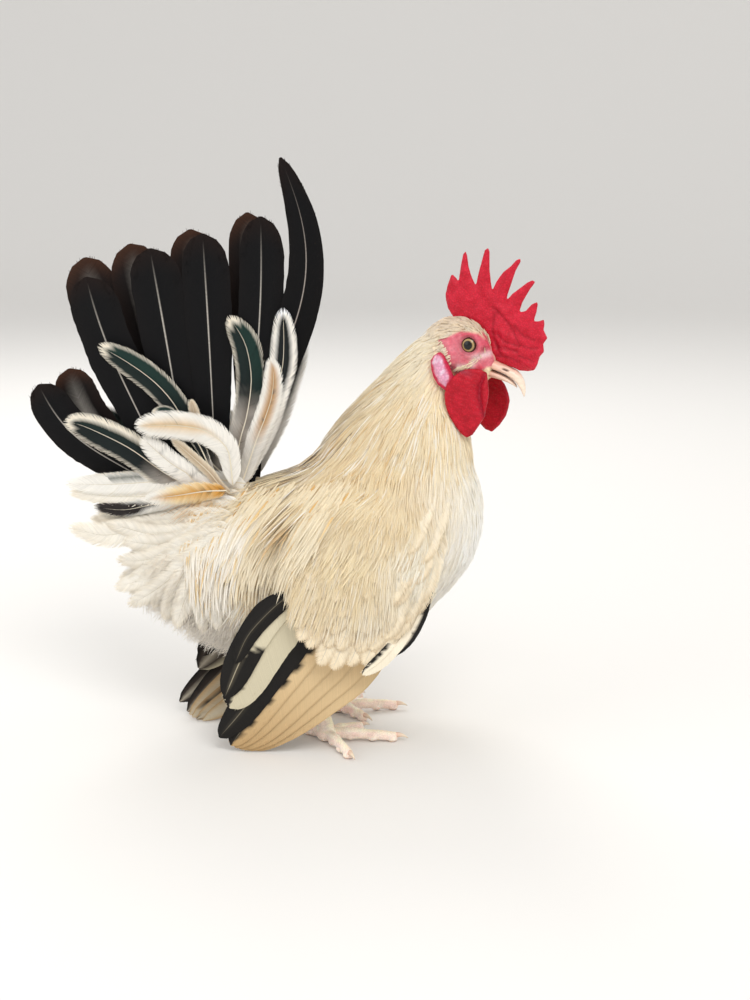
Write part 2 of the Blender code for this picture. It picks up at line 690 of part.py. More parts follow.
def make_wing(side, torso, neck):
    """The drooped wing: its arm, primaries inside, secondaries outside them, and coverts over both."""
    rings = [
        upright_ring(x, low, high, half, WING_SIDES, middle_y=side * middle, square=2.6)
        for x, low, high, middle, half in WING_RINGS
    ]
    pieces = [loft("arm", rings)]
    level = WING_FIRST_Y
    swing_in, swing_back, root_back = WING_SWING[side]
    for count, root_a, root_b, tip_a, tip_b, half in (PRIMARIES, SECONDARIES):
        for root, tip in zip(spread(root_a, root_b, count), spread(tip_a, tip_b, count)):
            less = 1 - 0.6 * tip[1] / 0.058
            back_root = (root[0] - root_back, root[1])
            back_tip = (tip[0] - swing_back * less, tip[1])
            pieces.append(
                side_vane(
                    "flight", back_root, back_tip, half, -0.004, level, side, rise=-swing_in * less, lean=2.4
                )
            )
            level += VANE_PITCH
    for count, tip_a, tip_b, length, half in COVERT_TIERS:
        for tip in spread(tip_a, tip_b, count):
            root = (tip[0] + length * 0.62, tip[1] + length * 0.78)
            pieces.append(
                side_vane("covert", root, tip, half, 0.0, COVERT_LEVEL, side, rise=COVERT_RISE, root_share=0.6)
            )
    for k, (root, tip) in enumerate(ALULA):
        level = WING_FIRST_Y + 0.0040 + 0.0024 * k
        pieces.append(side_vane("alula", root, tip, ALULA_HALF_WIDTH, -0.002, level, side, steps=3))
    wing = fuse("wing_" + SIDE_NAMES[side], pieces, material("buff_feather", BUFF, 0.8))
    return stand_on_floor(seat(wing, torso, neck))


def tapered_tube(name, points, radii, sides=8, flat=1.0):
    rings = []
    for i, (point, radius) in enumerate(zip(points, radii)):
        before, after = points[max(0, i - 1)], points[min(len(points) - 1, i + 1)]
        rings.append(tube_ring(point, (after - before).normalized(), radius, sides, flat))
    return loft(name, rings)


def scaled_tube(name, start, end, radius_a, radius_b, scutes, sides=8, sag=0.0):
    """A tube whose front scales step over one another, from start to end."""
    points, radii = [], []
    for i in range(scutes):
        for share, step in ((i / scutes, 0.0), ((i + 0.85) / scutes, SCUTE_STEP)):
            points.append(start.lerp(end, share) + Vector((0, 0, sag * math.sin(math.pi * share))))
            radii.append(radius_a + (radius_b - radius_a) * share + step)
    points.append(end)
    radii.append(radius_b)
    return tapered_tube(name, points, radii, sides)


def make_leg(side, foot, torso, wing):
    """Thigh, shank with its foot, four claws and the spur, from the body down."""
    name = SIDE_NAMES[side]
    skin = material("shank_skin", SHANK_SKIN, 0.5)
    (ankle_x, ankle_y), ends = foot
    ankle = Vector((ankle_x, ankle_y, ANKLE_HEIGHT))
    hock = Vector((HOCK[0], side * HOCK[1], HOCK[2]))
    top = Vector((THIGH_TOP[0], side * THIGH_TOP[1], THIGH_TOP[2]))
    thigh_points = [top.lerp(hock, share) for share in (0.0, 0.35, 0.7, 1.0, 1.12)]
    thigh_radii = [THIGH_TOP_RADIUS, 0.0165, 0.0115, THIGH_LOW_RADIUS + 0.001, THIGH_LOW_RADIUS - 0.001]
    drum = tapered_tube("drum", thigh_points, thigh_radii, 12)
    thigh = fuse("thigh_" + name, [drum], material("buff_feather", BUFF, 0.8))

    pieces = [scaled_tube("shank_core", hock, ankle, SHANK_RADIUS + 0.0006, SHANK_RADIUS, SHANK_SCUTES, 10)]
    pieces.append(blob("ankle", ankle - Vector((0, 0, 0.0028)), (0.0052, 0.0048, 0.0046), segments=10, rings=8))
    claws = []
    for toe_name, (x, y) in zip(TOE_NAMES, ends):
        start = Vector((ankle_x, ankle_y, TOE_HEIGHT + 0.0006))
        end = Vector((x, y, TOE_HEIGHT - 0.0006))
        low_radius = TOE_TIP_RADIUS + 0.0002
        pieces.append(scaled_tube("toe", start, end, TOE_RADIUS, low_radius, TOE_SCUTES, sag=0.0009))
        tip_ball = blob("pad", end - Vector((0, 0, 0.0002)), (TOE_TIP_RADIUS + 0.0006,) * 3, segments=8, rings=6)
        pieces.append(tip_ball)
        along = Vector((end.x - start.x, end.y - start.y, 0)).normalized()
        claw_points = []
        for share in (0.0, 0.3, 0.6, 0.85, 1.0):
            arch = 0.0008 + 0.0006 * math.sin(math.pi * share) - CLAW_DROP * share**2
            claw_points.append(end + along * CLAW_LENGTH * share + Vector((0, 0, arch)))
        claw_radii = [TOE_TIP_RADIUS * r for r in (0.72, 0.66, 0.48, 0.26, 0.12)]
        claws.append((toe_name, tapered_tube("claw", claw_points, claw_radii, 8)))
    shank = fuse("shank_" + name, pieces, skin)
    stand_on_floor(shank)
    seat(thigh, torso, wing)
    seat(shank, thigh)
    horn = material("beak_horn", HORN, 0.35)
    for toe_name, claw in claws:
        seat(fuse(f"claw_{toe_name}_{name}", [claw], horn), shank)
    middle = hock.lerp(ankle, 0.62)
    back = Vector((-0.9, -side * 0.35, 0.12)).normalized()
    spur_points = [middle + back * (SHANK_RADIUS * 0.6 + SPUR_LENGTH * share) for share in (0.0, 0.4, 0.75, 1.0)]
    spur = tapered_tube("spur", spur_points, [SPUR_RADIUS * r for r in (1.0, 0.8, 0.5, 0.2)], 8)
    seat(fuse("spur_" + name, [spur], horn), shank)
    return thigh, shank


def centre_on_box(objects):
    """Moves the bird so that the origin is on the floor under the middle of its box."""
    corners = [v.co for obj in objects for v in obj.data.vertices]
    middle = Vector(
        ((min(c.x for c in corners) + max(c.x for c in corners)) / 2,
         (min(c.y for c in corners) + max(c.y for c in corners)) / 2,
         0.0)
    )
    for obj in objects:
        obj.data.transform(Matrix.Translation(-middle))


def make_bird():
    torso = make_torso()
    neck = make_neck(torso)
    eyes = [make_eye(side) for side in (RIGHT, LEFT)]
    head = make_head(neck, torso, eyes)
    beak = make_beak(head)
    make_comb(head, beak[0], neck)
    for side in (RIGHT, LEFT):
        wattle = make_wattle(side, head, neck, beak)
        make_earlobe(side, head, neck, wattle)
    make_tail(torso)
    for side, foot in ((RIGHT, (RIGHT_ANKLE, RIGHT_TOES)), (LEFT, (LEFT_ANKLE, LEFT_TOES))):
        wing = make_wing(side, torso, neck)
        make_leg(side, foot, torso, wing)
    for obj in BIRD.objects:
        obj.data.polygons.foreach_set("use_smooth", [False] * len(obj.data.polygons))
    centre_on_box(list(BIRD.objects))


for old in list(bpy.data.objects):
    bpy.data.objects.remove(old)
BIRD = bpy.data.collections.new("bantam_cock")
CUTTERS = bpy.data.collections.new("cutters")
bpy.context.scene.collection.children.link(BIRD)
bpy.context.scene.collection.children.link(CUTTERS)
make_bird()
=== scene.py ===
"""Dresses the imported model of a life-size Japanese bantam cock: skin, plumage, head, feet and a soft studio."""

import math

import bpy
import numpy as np
from mathutils import Matrix, Vector, noise
from mathutils.bvhtree import BVHTree
from mathutils.kdtree import KDTree


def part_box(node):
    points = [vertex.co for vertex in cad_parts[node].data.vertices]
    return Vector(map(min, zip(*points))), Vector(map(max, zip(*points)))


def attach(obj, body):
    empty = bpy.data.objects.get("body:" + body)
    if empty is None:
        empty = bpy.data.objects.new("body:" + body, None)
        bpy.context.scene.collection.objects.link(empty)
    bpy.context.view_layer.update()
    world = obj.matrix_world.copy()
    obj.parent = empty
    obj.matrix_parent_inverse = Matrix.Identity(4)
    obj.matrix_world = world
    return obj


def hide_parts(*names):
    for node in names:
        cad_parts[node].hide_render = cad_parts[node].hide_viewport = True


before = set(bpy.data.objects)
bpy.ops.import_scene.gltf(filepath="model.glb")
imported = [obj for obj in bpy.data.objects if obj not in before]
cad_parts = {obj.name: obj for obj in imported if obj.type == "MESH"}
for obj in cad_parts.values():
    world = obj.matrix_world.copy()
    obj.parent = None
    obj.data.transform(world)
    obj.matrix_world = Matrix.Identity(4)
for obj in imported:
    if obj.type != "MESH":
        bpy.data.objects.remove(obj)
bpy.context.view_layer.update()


# Place and view: every size here is in millimetres from the point on the floor between the bird's ankles.
# The bird faces +X and its left side is +Y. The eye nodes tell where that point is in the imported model.
HEAD_PLACE, HEAD_TURN, HEAD_DIP = (78.5, 2.2, 213.3), math.radians(-12), math.radians(20)
HEAD = Matrix.Translation(HEAD_PLACE) @ Matrix.Rotation(HEAD_TURN, 4, "Z") @ Matrix.Rotation(HEAD_DIP, 4, "Y")
EYE_PLACE = (0.0, 9.2, 0.0)
RIGHT, LEFT = -1, 1
SIDE_NAMES = {RIGHT: "right", LEFT: "left"}
eye_low, eye_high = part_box("eye_right")
eye_in_head = np.array(HEAD @ Vector((0, RIGHT * EYE_PLACE[1], 0)))
ORIGIN = np.array((Vector(eye_low) + Vector(eye_high)) / 2) - eye_in_head / 1000
CAMERA_PLACE = (197.8, -811.4, 305.1)
CAMERA_TURN = CAMERA_DIP = math.radians(12)
SENSOR, LENS = 36, 57.6


def row(points):
    """Millimetres on the bird to metres in the model."""
    return np.asarray(points, float) / 1000 + ORIGIN


def add_object(name, data):
    """A new object of the scene."""
    made = bpy.data.objects.new(name, data)
    bpy.context.scene.collection.objects.link(made)
    return made


def look_along(made, way):
    """Turns a camera or lamp to look along a direction."""
    made.rotation_euler = way.to_track_quat("-Z", "Y").to_euler()


camera = add_object("camera", bpy.data.cameras.new("camera"))
camera.location = row(CAMERA_PLACE)
level = math.cos(CAMERA_DIP)
look_along(camera, Vector((-math.sin(CAMERA_TURN) * level, math.cos(CAMERA_TURN) * level, -math.sin(CAMERA_DIP))))
camera.data.sensor_width, camera.data.lens = SENSOR, LENS
camera.data.clip_start, camera.data.clip_end = 0.01, 50
bpy.context.scene.camera = camera

# The studio: a pale sweep of paper, one broad soft key from the front right above, a fill, and a pale surround.
# The paper is a plane whose far edge is drawn up and bent round; sizes here are in metres.
SWEEP_SIZE, SWEEP_RISE, SWEEP_BEND = 7, 5, 1.6
BIRD_MIDDLE = Vector((0, 0, 0.14))
LAMPS = (
    ("key", (0.75, -1.25, 1.6), 1.1, 20),
    ("fill", (-1.3, -1.1, 0.9), 1.4, 7),
    ("rim", (-0.6, 1.1, 1.3), 0.8, 10),
)


def linear(hex_colour):
    """An sRGB hex colour as linear red, green and blue."""
    parts = [int(hex_colour[i:i + 2], 16) / 255 for i in (0, 2, 4)]
    return np.array([p / 12.92 if p <= 0.04045 else ((p + 0.055) / 1.055) ** 2.4 for p in parts])


def new_material(name, colour, roughness):
    """A Principled material with a plain colour, returned with its tree and shader for more nodes."""
    made = bpy.data.materials.new(name)
    made.use_nodes = True
    shader = made.node_tree.nodes["Principled BSDF"]
    made.diffuse_color = shader.inputs["Base Color"].default_value = (*linear(colour), 1)
    shader.inputs["Roughness"].default_value = roughness
    return made, made.node_tree, shader


def pick_edges(made, wanted):
    """Selects the edges whose two ends are both wanted."""
    for edge in made.data.edges:
        edge.select = all(wanted(made.data.vertices[i].co) for i in edge.vertices)


bpy.ops.object.select_all(action="DESELECT")
bpy.ops.mesh.primitive_plane_add(size=SWEEP_SIZE, location=(0, 0.6, 0))
sweep = bpy.context.object
sweep.name = "sweep"
bpy.ops.object.mode_set(mode="EDIT")
bpy.ops.mesh.select_all(action="DESELECT")
bpy.ops.object.mode_set(mode="OBJECT")
pick_edges(sweep, lambda place: place.y > 0)
bpy.ops.object.mode_set(mode="EDIT")
bpy.ops.mesh.extrude_region_move(TRANSFORM_OT_translate={"value": (0, 0, SWEEP_RISE)})
bpy.ops.object.mode_set(mode="OBJECT")
pick_edges(sweep, lambda place: place.y > 0 and abs(place.z) < 0.01)
bpy.ops.object.mode_set(mode="EDIT")
bpy.ops.mesh.bevel(offset=SWEEP_BEND, segments=16)
bpy.ops.object.mode_set(mode="OBJECT")
bpy.ops.object.shade_smooth()
sweep.data.materials.append(new_material("studio_paper", "E4E1DC", 0.9)[0])

surround = bpy.data.worlds.new("surround")
surround.use_nodes = True
surround.node_tree.nodes["Background"].inputs["Color"].default_value = (0.97, 0.98, 1.0, 1)
surround.node_tree.nodes["Background"].inputs["Strength"].default_value = 0.85
bpy.context.scene.world = surround
for name, place, size, power in LAMPS:
    lamp = add_object(name, bpy.data.lights.new(name, "AREA"))
    lamp.data.size, lamp.data.energy = size, power
    lamp.location = place
    look_along(lamp, BIRD_MIDDLE - Vector(place))
bpy.context.scene.view_settings.view_transform = "Standard"


# Skin: the body under its plumage, with breast, neck, thighs and the arms of the wings, as one thin soft hide.
# It is lofted from the same stations as the solids, drawn into one surface with no seam, and sunk below them by
# the depth of the feathers.
TORSO_STATIONS = (
    (84.5, 112, 134, 9), (79, 96, 150, 22), (68, 81, 160, 32), (52, 64, 164, 39), (32, 47, 162, 43),
    (8, 36, 156, 44), (-16, 33, 148, 42), (-40, 37, 140, 39), (-64, 46, 130, 34), (-86, 58, 117, 26),
    (-104, 72, 102, 14),
)
NECK_STATIONS = (
    (-10, 146, 70, 118, 30, 0), (-6, 160, 78, 136, 34, 0), (7, 177, 80, 156, 29, 0), (22, 193, 77, 170, 20, 0.5),
    (36, 206, 72, 184, 13.5, 2), (48, 216, 72, 195, 11.5, 3.5), (58, 220, 76, 203, 10, 4),
)
ARM_STATIONS = (
    (70, 94, 112, 44, 3), (62, 80, 130, 45.5, 6.5), (46, 67, 140, 48.5, 8), (24, 58, 142, 50, 8.6),
    (2, 62, 134, 49.5, 8), (-13, 76, 118, 48, 5),
)
# The muscle from the back down to the arm: x, y, z, half its length down the slope, half its thickness.
SHOULDER_STATIONS = (
    (-22, 30, 128, 8, 3), (-8, 35, 134, 17, 6), (12, 37.5, 137.5, 23, 8), (40, 37.5, 137, 23, 8), (58, 37, 130, 17, 7),
    (68, 36, 122, 9, 4),
)
RUMP_BALL = ((-62, 0, 124), (31, 18, 15))
THIGH_TOP, HOCK = (22, 22.5, 66.0), (-8, 22.5, 40)
THIGH_RINGS = ((0, 18), (0.35, 16.5), (0.7, 11.5), (1, 7.2), (1.12, 5.2))
BODY_VOXEL = 2.0
PLUMAGE_DEPTH, DEPTH_OFF_HEAD = 3.4, 2.2
BALL_SIDES, BALL_RINGS = 24, 14


def loft_rings(rings):
    """Points and faces of a closed skin over rings of points."""
    rings = np.asarray(rings, float)
    count, sides = rings.shape[:2]
    points = list(rings.reshape(-1, 3)) + [rings[0].mean(0), rings[-1].mean(0)]
    pairs = [(s, (s + 1) % sides) for s in range(sides)]
    faces = [(r * sides + s, r * sides + t, (r + 1) * sides + t, (r + 1) * sides + s)
             for r in range(count - 1) for s, t in pairs]
    for s, t in pairs:
        faces.append((s, count * sides, t))
        faces.append(((count - 1) * sides + s, (count - 1) * sides + t, count * sides + 1))
    return np.array(points), faces


def oval(centre, across, rise, sides, square=2.2):
    """A ring of points, a little squarer than an ellipse, from its centre and two half axes."""
    turns = 2 * np.pi * np.arange(sides) / sides
    c, s = np.cos(turns), np.sin(turns)
    c, s = np.sign(c) * abs(c) ** (2 / square), np.sign(s) * abs(s) ** (2 / square)
    return np.asarray(centre, float) + np.outer(c, across) + np.outer(s, rise)


def upright(x, y, low, high, half, sides, square=2.2):
    """A ring across the bird, from its place along it and out from the middle, its foot, its top and its half width."""
    return oval((x, y, (low + high) / 2), (0, half, 0), (0, 0, (high - low) / 2), sides, square)


def ball(centre, sizes, lean=0.0):
    """Points and faces of an ellipsoid, leaned about the Y axis."""
    stations = []
    for k in range(1, BALL_RINGS):
        up, out = math.cos(math.pi * k / BALL_RINGS), math.sin(math.pi * k / BALL_RINGS)
        stations.append(oval((0, 0, sizes[2] * up), (sizes[0] * out, 0, 0), (0, sizes[1] * out, 0), BALL_SIDES, 2.0))
    points, faces = loft_rings(stations)
    points[-2], points[-1] = (0, 0, sizes[2]), (0, 0, -sizes[2])
    turned = np.array(Matrix.Rotation(lean, 3, "Y"))
    return points @ turned.T + np.asarray(centre, float), faces


def select_only(made):
    """Leaves one object selected and active, for the operators that follow."""
    bpy.ops.object.select_all(action="DESELECT")
    made.select_set(True)
    bpy.context.view_layer.objects.active = made


def modify(made, kind, **settings):
    """Gives the active object a modifier with these settings and applies it."""
    modifier = made.modifiers.new(kind.lower(), kind)
    for name, value in settings.items():
        setattr(modifier, name, value)
    bpy.ops.object.modifier_apply(modifier=modifier.name)


def mesh_object(name, places, faces):
    """An object from points in metres and faces, selected and active."""
    mesh = bpy.data.meshes.new(name)
    mesh.from_pydata([tuple(p) for p in places], [], faces)
    made = add_object(name, mesh)
    select_only(made)
    return made


def solid_object(name, shapes):
    """One object from closed shapes, each a pair of points in millimetres and faces."""
    points, faces, start = [], [], 0
    for shape_points, shape_faces in shapes:
        points.append(shape_points)
        faces += [tuple(start + i for i in face) for face in shape_faces]
        start += len(shape_points)
    made = mesh_object(name, row(np.concatenate(points)), faces)
    bpy.ops.object.mode_set(mode="EDIT")
    bpy.ops.mesh.select_all(action="SELECT")
    bpy.ops.mesh.normals_make_consistent(inside=False)
    bpy.ops.object.mode_set(mode="OBJECT")
    return made


def melt(made, voxel, smooth_steps, smooth=0.5):
    """Draws overlapping shapes together into one even skin."""
    select_only(made)
    modify(made, "REMESH", mode="VOXEL", voxel_size=voxel / 1000)
    modify(made, "SMOOTH", factor=smooth, iterations=smooth_steps)
    bpy.ops.object.shade_smooth()
    return made


def mesh_arrays(made):
    """A mesh's points in millimetres on the bird, and its vertex normals."""
    points, normals = (np.empty(len(made.data.vertices) * 3) for _ in range(2))
    made.data.vertices.foreach_get("co", points)
    made.data.vertex_normals.foreach_get("vector", normals)
    return (points.reshape(-1, 3) - ORIGIN) * 1000, normals.reshape(-1, 3)


def set_points(made, points):
    """Moves a mesh's points to places in millimetres on the bird."""
    made.data.vertices.foreach_set("co", row(points).ravel())
    made.data.update()


def soft(value, start, end):
    """0 up to the start, 1 past the end, and an even slope between; the end may be the lower of the two."""
    return np.clip((value - start) / (end - start), 0, 1)


body_shapes = [loft_rings([upright(x, 0, low, high, half, 28) for x, low, high, half in TORSO_STATIONS])]
neck_rings = []
for nape_x, nape_z, throat_x, throat_z, half, middle in NECK_STATIONS:
    nape, throat = np.array((nape_x, middle, nape_z)), np.array((throat_x, middle, throat_z))
    neck_rings.append(oval((nape + throat) / 2, (0, half, 0), (nape - throat) / 2, 28, 2.0))
body_shapes += [loft_rings(neck_rings), ball(*RUMP_BALL)]
for side in (RIGHT, LEFT):
    arm = [upright(x, side * y, low, high, half, 24, 2.6) for x, low, high, y, half in ARM_STATIONS]
    slope, square_to_it = np.array((0, side * 0.7, -0.7)), np.array((0, side * 0.7, 0.7))
    muscle = [oval((x, side * y, z), slope * reach, square_to_it * thick, 24)
              for x, y, z, reach, thick in SHOULDER_STATIONS]
    top, hock = (np.array((x, side * y, z)) for x, y, z in (THIGH_TOP, HOCK))
    across = np.array((0, 1.0, 0))
    front = np.cross((hock - top) / np.linalg.norm(hock - top), across)
    thigh = [oval(top + (hock - top) * share, across * radius, front * radius, 20, 2.0)
             for share, radius in THIGH_RINGS]
    body_shapes += [loft_rings(rings) for rings in (arm, muscle, thigh)]
body = melt(solid_object("body", body_shapes), BODY_VOXEL, 6)
# The arm's upper and rear edges are drawn out into the back, where skin and muscle bridge them.
_, y, z = mesh_arrays(body)[0].T
near_shoulder = soft(z, 104, 126) * soft(abs(y), 16, 26) * soft(z, 176, 162)
shoulder = body.vertex_groups.new(name="shoulder")
for k in np.nonzero(near_shoulder > 0)[0]:
    shoulder.add([int(k)], near_shoulder[k], "REPLACE")
modify(body, "SMOOTH", factor=0.9, iterations=60, vertex_group="shoulder")
body.vertex_groups.clear()
body_points, body_normals = mesh_arrays(body)
sunk = PLUMAGE_DEPTH - DEPTH_OFF_HEAD * soft(body_points[:, 2], 196, 214)
set_points(body, body_points - body_normals * sunk[:, None])


# Head: bare pink-red skin round the eye, thin and finely wrinkled over the skull, with a white brow and ear tuft.
# It is melted from a lofted skull, the cheek, and two rings of lid round each eye, then joined to the body's skin.
SKULL_STATIONS = (
    (-26, -17, -2, 6), (-20, -20.5, 6, 10), (-11, -21.5, 9.6, 12.3), (-3, -20.5, 9.8, 12.4), (4, -18.5, 6.9, 11.2),
    (9, -16.5, 1.8, 8.6), (13, -14.8, -2.6, 6.2),
)
CHIN_BALL = ((3.5, 0, -15.0), (9.0, 6.5, 4.2), 0.2)
CHEEK_BALLS = (
    ((-8, 10.5, -8.5), (6.5, 2.6, 5.5), 0.4), ((-11.5, 11.0, -5.2), (3.4, 2.3, 2.4), 0.4),
    ((2, 9.2, 5.2), (8.0, 3.0, 2.4), 0.35),
)
LID_Y, LID_RADIUS, LID_TUBE = 12.1, 5.5, 1.35
LID_TURNS, LID_SIDES, LID_WIDER = 30, 8, 1.06
# Folds of the lid round the eye: height, distance from the eye's middle and width.
LID_FOLDS = ((0.55, 4.15, 0.45), (0.25, 5.5, 0.35), (0.18, 6.7, 0.4), (0.12, 7.9, 0.4))
SOCKET_DEPTH = 2.6
EAR_FOLD, GAPE_FOLD = ((-15, -3.4), (-10.5, -4.2), (-8, -7)), ((4.8, -11.3), (4.6, -7.9), (8.7, -2.2))
SKULL_VOXEL = 0.72
FACE_OUTLINE = (
    (-16.6, -3.8), (-12.2, -0.5), (-7.6, 4.1), (-2.1, 6.4), (2.4, 7.1), (6.8, 5.9), (10.5, 4.5), (13.3, 1.2),
    (19.1, -1.7), (16.7, -6.0), (11.5, -8.0), (8, -14), (-0.5, -16.9), (-2.5, -19), (-4.8, -17.1), (-7.9, -13.1),
    (-12.7, -9.8), (-16.3, -6.7),
)


def off_line(points, a, b):
    """How far points in a plane are from the straight line between two corners."""
    leg = b - a
    share = np.clip(((points - a) @ leg) / (leg @ leg), 0, 1)
    return np.linalg.norm(points - a - share[:, None] * leg, axis=1)


def edge_distance(points, outline):
    """Signed distance in a plane from points to a closed outline: positive inside."""
    corners = np.asarray(outline, float)
    best = np.full(len(points), 1e9)
    inside = np.zeros(len(points), bool)
    for a, b in zip(corners, np.roll(corners, -1, axis=0)):
        best = np.minimum(best, off_line(points, a, b))
        crosses = (a[1] > points[:, 1]) != (b[1] > points[:, 1])
        rise = np.where(crosses, (points[:, 1] - a[1]) / (b[1] - a[1] if b[1] != a[1] else 1), 0)
        inside ^= crosses & (points[:, 0] < a[0] + rise * (b - a)[0])
    return np.where(inside, best, -best)


def line_bump(points, line, width):
    """1 on a line through the given points, falling softly to 0 over its width."""
    stops = np.asarray(line, float)
    best = np.minimum.reduce([off_line(points, a, b) for a, b in zip(stops[:-1], stops[1:])])
    return np.exp(-(best / width) ** 2)


def hump(value, middle, width):
    """1 where the value is in the middle, falling softly to 0 over the width."""
    return np.exp(-((value - middle) / width) ** 2)


def speckle(points, size, seed=0.0):
    """Soft noise at each point, about -1 to 1, with lumps of the given size."""
    return np.array([noise.noise(Vector(p / size) + Vector((seed, seed * 2, 0))) for p in np.asarray(points, float)])


def in_head(points):
    """Points given in the head's own level frame, moved to where the head is."""
    turn = np.array(HEAD)
    return np.asarray(points, float) @ turn[:3, :3].T + turn[:3, 3]


def to_head(points):
    """Points on the bird, given in the head's own level frame."""
    back = np.array(HEAD.inverted())
    return np.asarray(points, float) @ back[:3, :3].T + back[:3, 3]


def hoop(centre, radius, tube):
    """A ring of flesh round an eye, its axis across the head, a little wider than it is high."""
    points, faces, sides = [], [], LID_SIDES
    for i in range(LID_TURNS):
        a = 2 * math.pi * i / LID_TURNS
        for k in range(sides):
            b = 2 * math.pi * k / sides
            reach, out = radius + tube * math.cos(b), tube * 1.1 * math.sin(b)
            points.append((centre[0] + LID_WIDER * reach * math.cos(a), centre[1] + out,
                           centre[2] + reach * math.sin(a)))
            here, after, beside = i * sides, (i + 1) % LID_TURNS * sides, (k + 1) % sides
            faces.append((here + k, here + beside, after + beside, after + k))
    return np.array(points), faces


skull = [loft_rings([upright(x, 0, low, high, half, 32, 2.1) for x, low, high, half in SKULL_STATIONS])]
skull.append(ball(*CHIN_BALL))
for side in (RIGHT, LEFT):
    skull += [ball((x, side * y, z), sizes, lean) for (x, y, z), sizes, lean in CHEEK_BALLS]
    skull.append(hoop((EYE_PLACE[0], side * (LID_Y - 0.6), EYE_PLACE[2]), LID_RADIUS, LID_TUBE))
head = melt(solid_object("head_skin", [(in_head(p), f) for p, f in skull]), SKULL_VOXEL, 5)
points, normals = mesh_arrays(head)
local = to_head(points)
flat = local[:, (0, 2)]
around = np.hypot(flat[:, 0] / LID_WIDER, flat[:, 1])
lid = sum(height * hump(around, middle, width) for height, middle, width in LID_FOLDS)
socket = -SOCKET_DEPTH * soft(around, 3.75, 3.25)
folds = 0.5 * line_bump(flat, EAR_FOLD, 0.8) + 0.35 * line_bump(flat, GAPE_FOLD, 0.9)
wrinkle = 0.16 * speckle(local * (1, 1, 1.8), 1.3) + 0.22 * speckle(local, 3.1, 5)
shift = soft(abs(local[:, 1]), 8, 10) * (lid + socket + folds) + wrinkle * soft(around, 4, 6)
set_points(head, points + normals * shift[:, None])

select_only(body)
modify(body, "BOOLEAN", operation="UNION", solver="EXACT", object=head)
bpy.data.objects.remove(head)
modify(body, "TRIANGULATE")
bpy.ops.object.mode_set(mode="EDIT")
bpy.ops.mesh.select_all(action="SELECT")
bpy.ops.uv.smart_project(angle_limit=math.radians(75), island_margin=0.004)
bpy.ops.object.mode_set(mode="OBJECT")
skin = body
skin.name = skin.data.name = "skin"

# The skin's colour runs from bare face red round the eye and the beak's root to the plumage's own colour below it,
# there a little darker as painted shade under the feathers.
# Guides: place and colour. Lines and rings on the bare face: colour, line or distance from the eye, width, strength.
COLOUR_GUIDES = (
    (66, 0, 227, "DCC5A8"), (45, 0, 212, "EAD9B8"), (58, 12, 212, "F0E0C0"), (45, 22, 188, "EBD4AA"),
    (25, 30, 170, "E9D0A3"), (0, 0, 168, "BEA888"), (22, 0, 193, "C6B08C"), (72, 10, 190, "FAE4B8"),
    (75, 5, 175, "FAE6BE"), (82, 0, 148, "FBF4E4"), (84, 0, 120, "FBF7EE"), (65, 10, 85, "F4EEE2"),
    (60, 40, 115, "F9F0DA"), (50, 50, 140, "EBD3A5"), (35, 40, 158, "EBD2A2"), (30, 57, 110, "EDD6A8"),
    (40, 55, 90, "F2E2C2"), (5, 55, 100, "ECD5A8"), (10, 52, 75, "F0DDB6"), (-10, 5, 152, "E8D2A6"),
    (-40, 25, 130, "F3DFB5"), (-30, 40, 100, "F2E3C4"), (-55, 8, 138, "DDB27A"), (-75, 10, 130, "D9A765"),
    (-85, 15, 100, "EFE7D8"), (-95, 5, 85, "EEE6D8"), (-60, 25, 60, "E6DCCD"), (-30, 30, 50, "D9CFC0"),
    (15, 0, 40, "E6DFD0"), (8, 30, 55, "EADFC9"),
)
BROW = ((-9, 5), (4, 7), (12, 2))
FACE_LINES = (
    ("D8445A", ((3.5, -10), (9, -9.5)), 2.2, 0.9),
    ("E9D3D2", ((-1.5, -13.2), (4.6, -10.2), (5.2, -5), (9.5, -1.5)), 1.7, 0.75),
)
FACE_RINGS = (("A8505A", 4.3, 0.5, 0.8), ("8E4B4E", 5, 0.3, 0.45))
UNDER_SHADE = 0.94
colour_places = np.array([(x, y * flip, z) for x, y, z, _ in COLOUR_GUIDES for flip in (1, -1)], float)
colour_values = np.array([linear(hex_colour) for *_, hex_colour in COLOUR_GUIDES for flip in (1, -1)])


def paint(made, colours):
    """Keeps each vertex's colour on a mesh as its tint."""
    layer = made.data.attributes.new("tint", "FLOAT_COLOR", "POINT")
    layer.data.foreach_set("color", np.c_[colours, np.ones(len(colours))].astype(np.float32).ravel())


def finish(made, slot_name, replaced, *materials):
    """Gives a finished piece its materials and the nodes that it takes the place of; its slot name is not used."""
    for material in materials:
        made.data.materials.append(material)
    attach(made, "root")
    if replaced:
        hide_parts(*replaced)


def mix(low, high, share):
    """Blends two colours, or rows of them; a single colour may be given in sRGB hex."""
    low, high = (linear(colour) if isinstance(colour, str) else np.asarray(colour) for colour in (low, high))
    share = np.asarray(share, float)[..., None]
    return low * (1 - share) + high * share


def spread_from(points, places, values):
    """Values at any points, drawn from guides placed on the bird, the nearest counting most."""
    away = np.linalg.norm(points[:, None, :] - places[None, :, :], axis=2) + 2.0
    weights = away ** -4.0
    return (weights / weights.sum(axis=1, keepdims=True)) @ values


def node(tree, kind, settings=None, **links):
    """Adds a node; settings fill its properties or sockets, and links join sockets to it."""
    made = tree.nodes.new(kind)
    for name, value in (settings or {}).items():
        if hasattr(made, name):
            setattr(made, name, value)
        else:
            made.inputs[int(name[1:]) if name[0] == "#" else name].default_value = value
    for name, source in links.items():
        tree.links.new(source, made.inputs[int(name[1:]) if name[0] == "_" else name.replace("_", " ")])
    return made


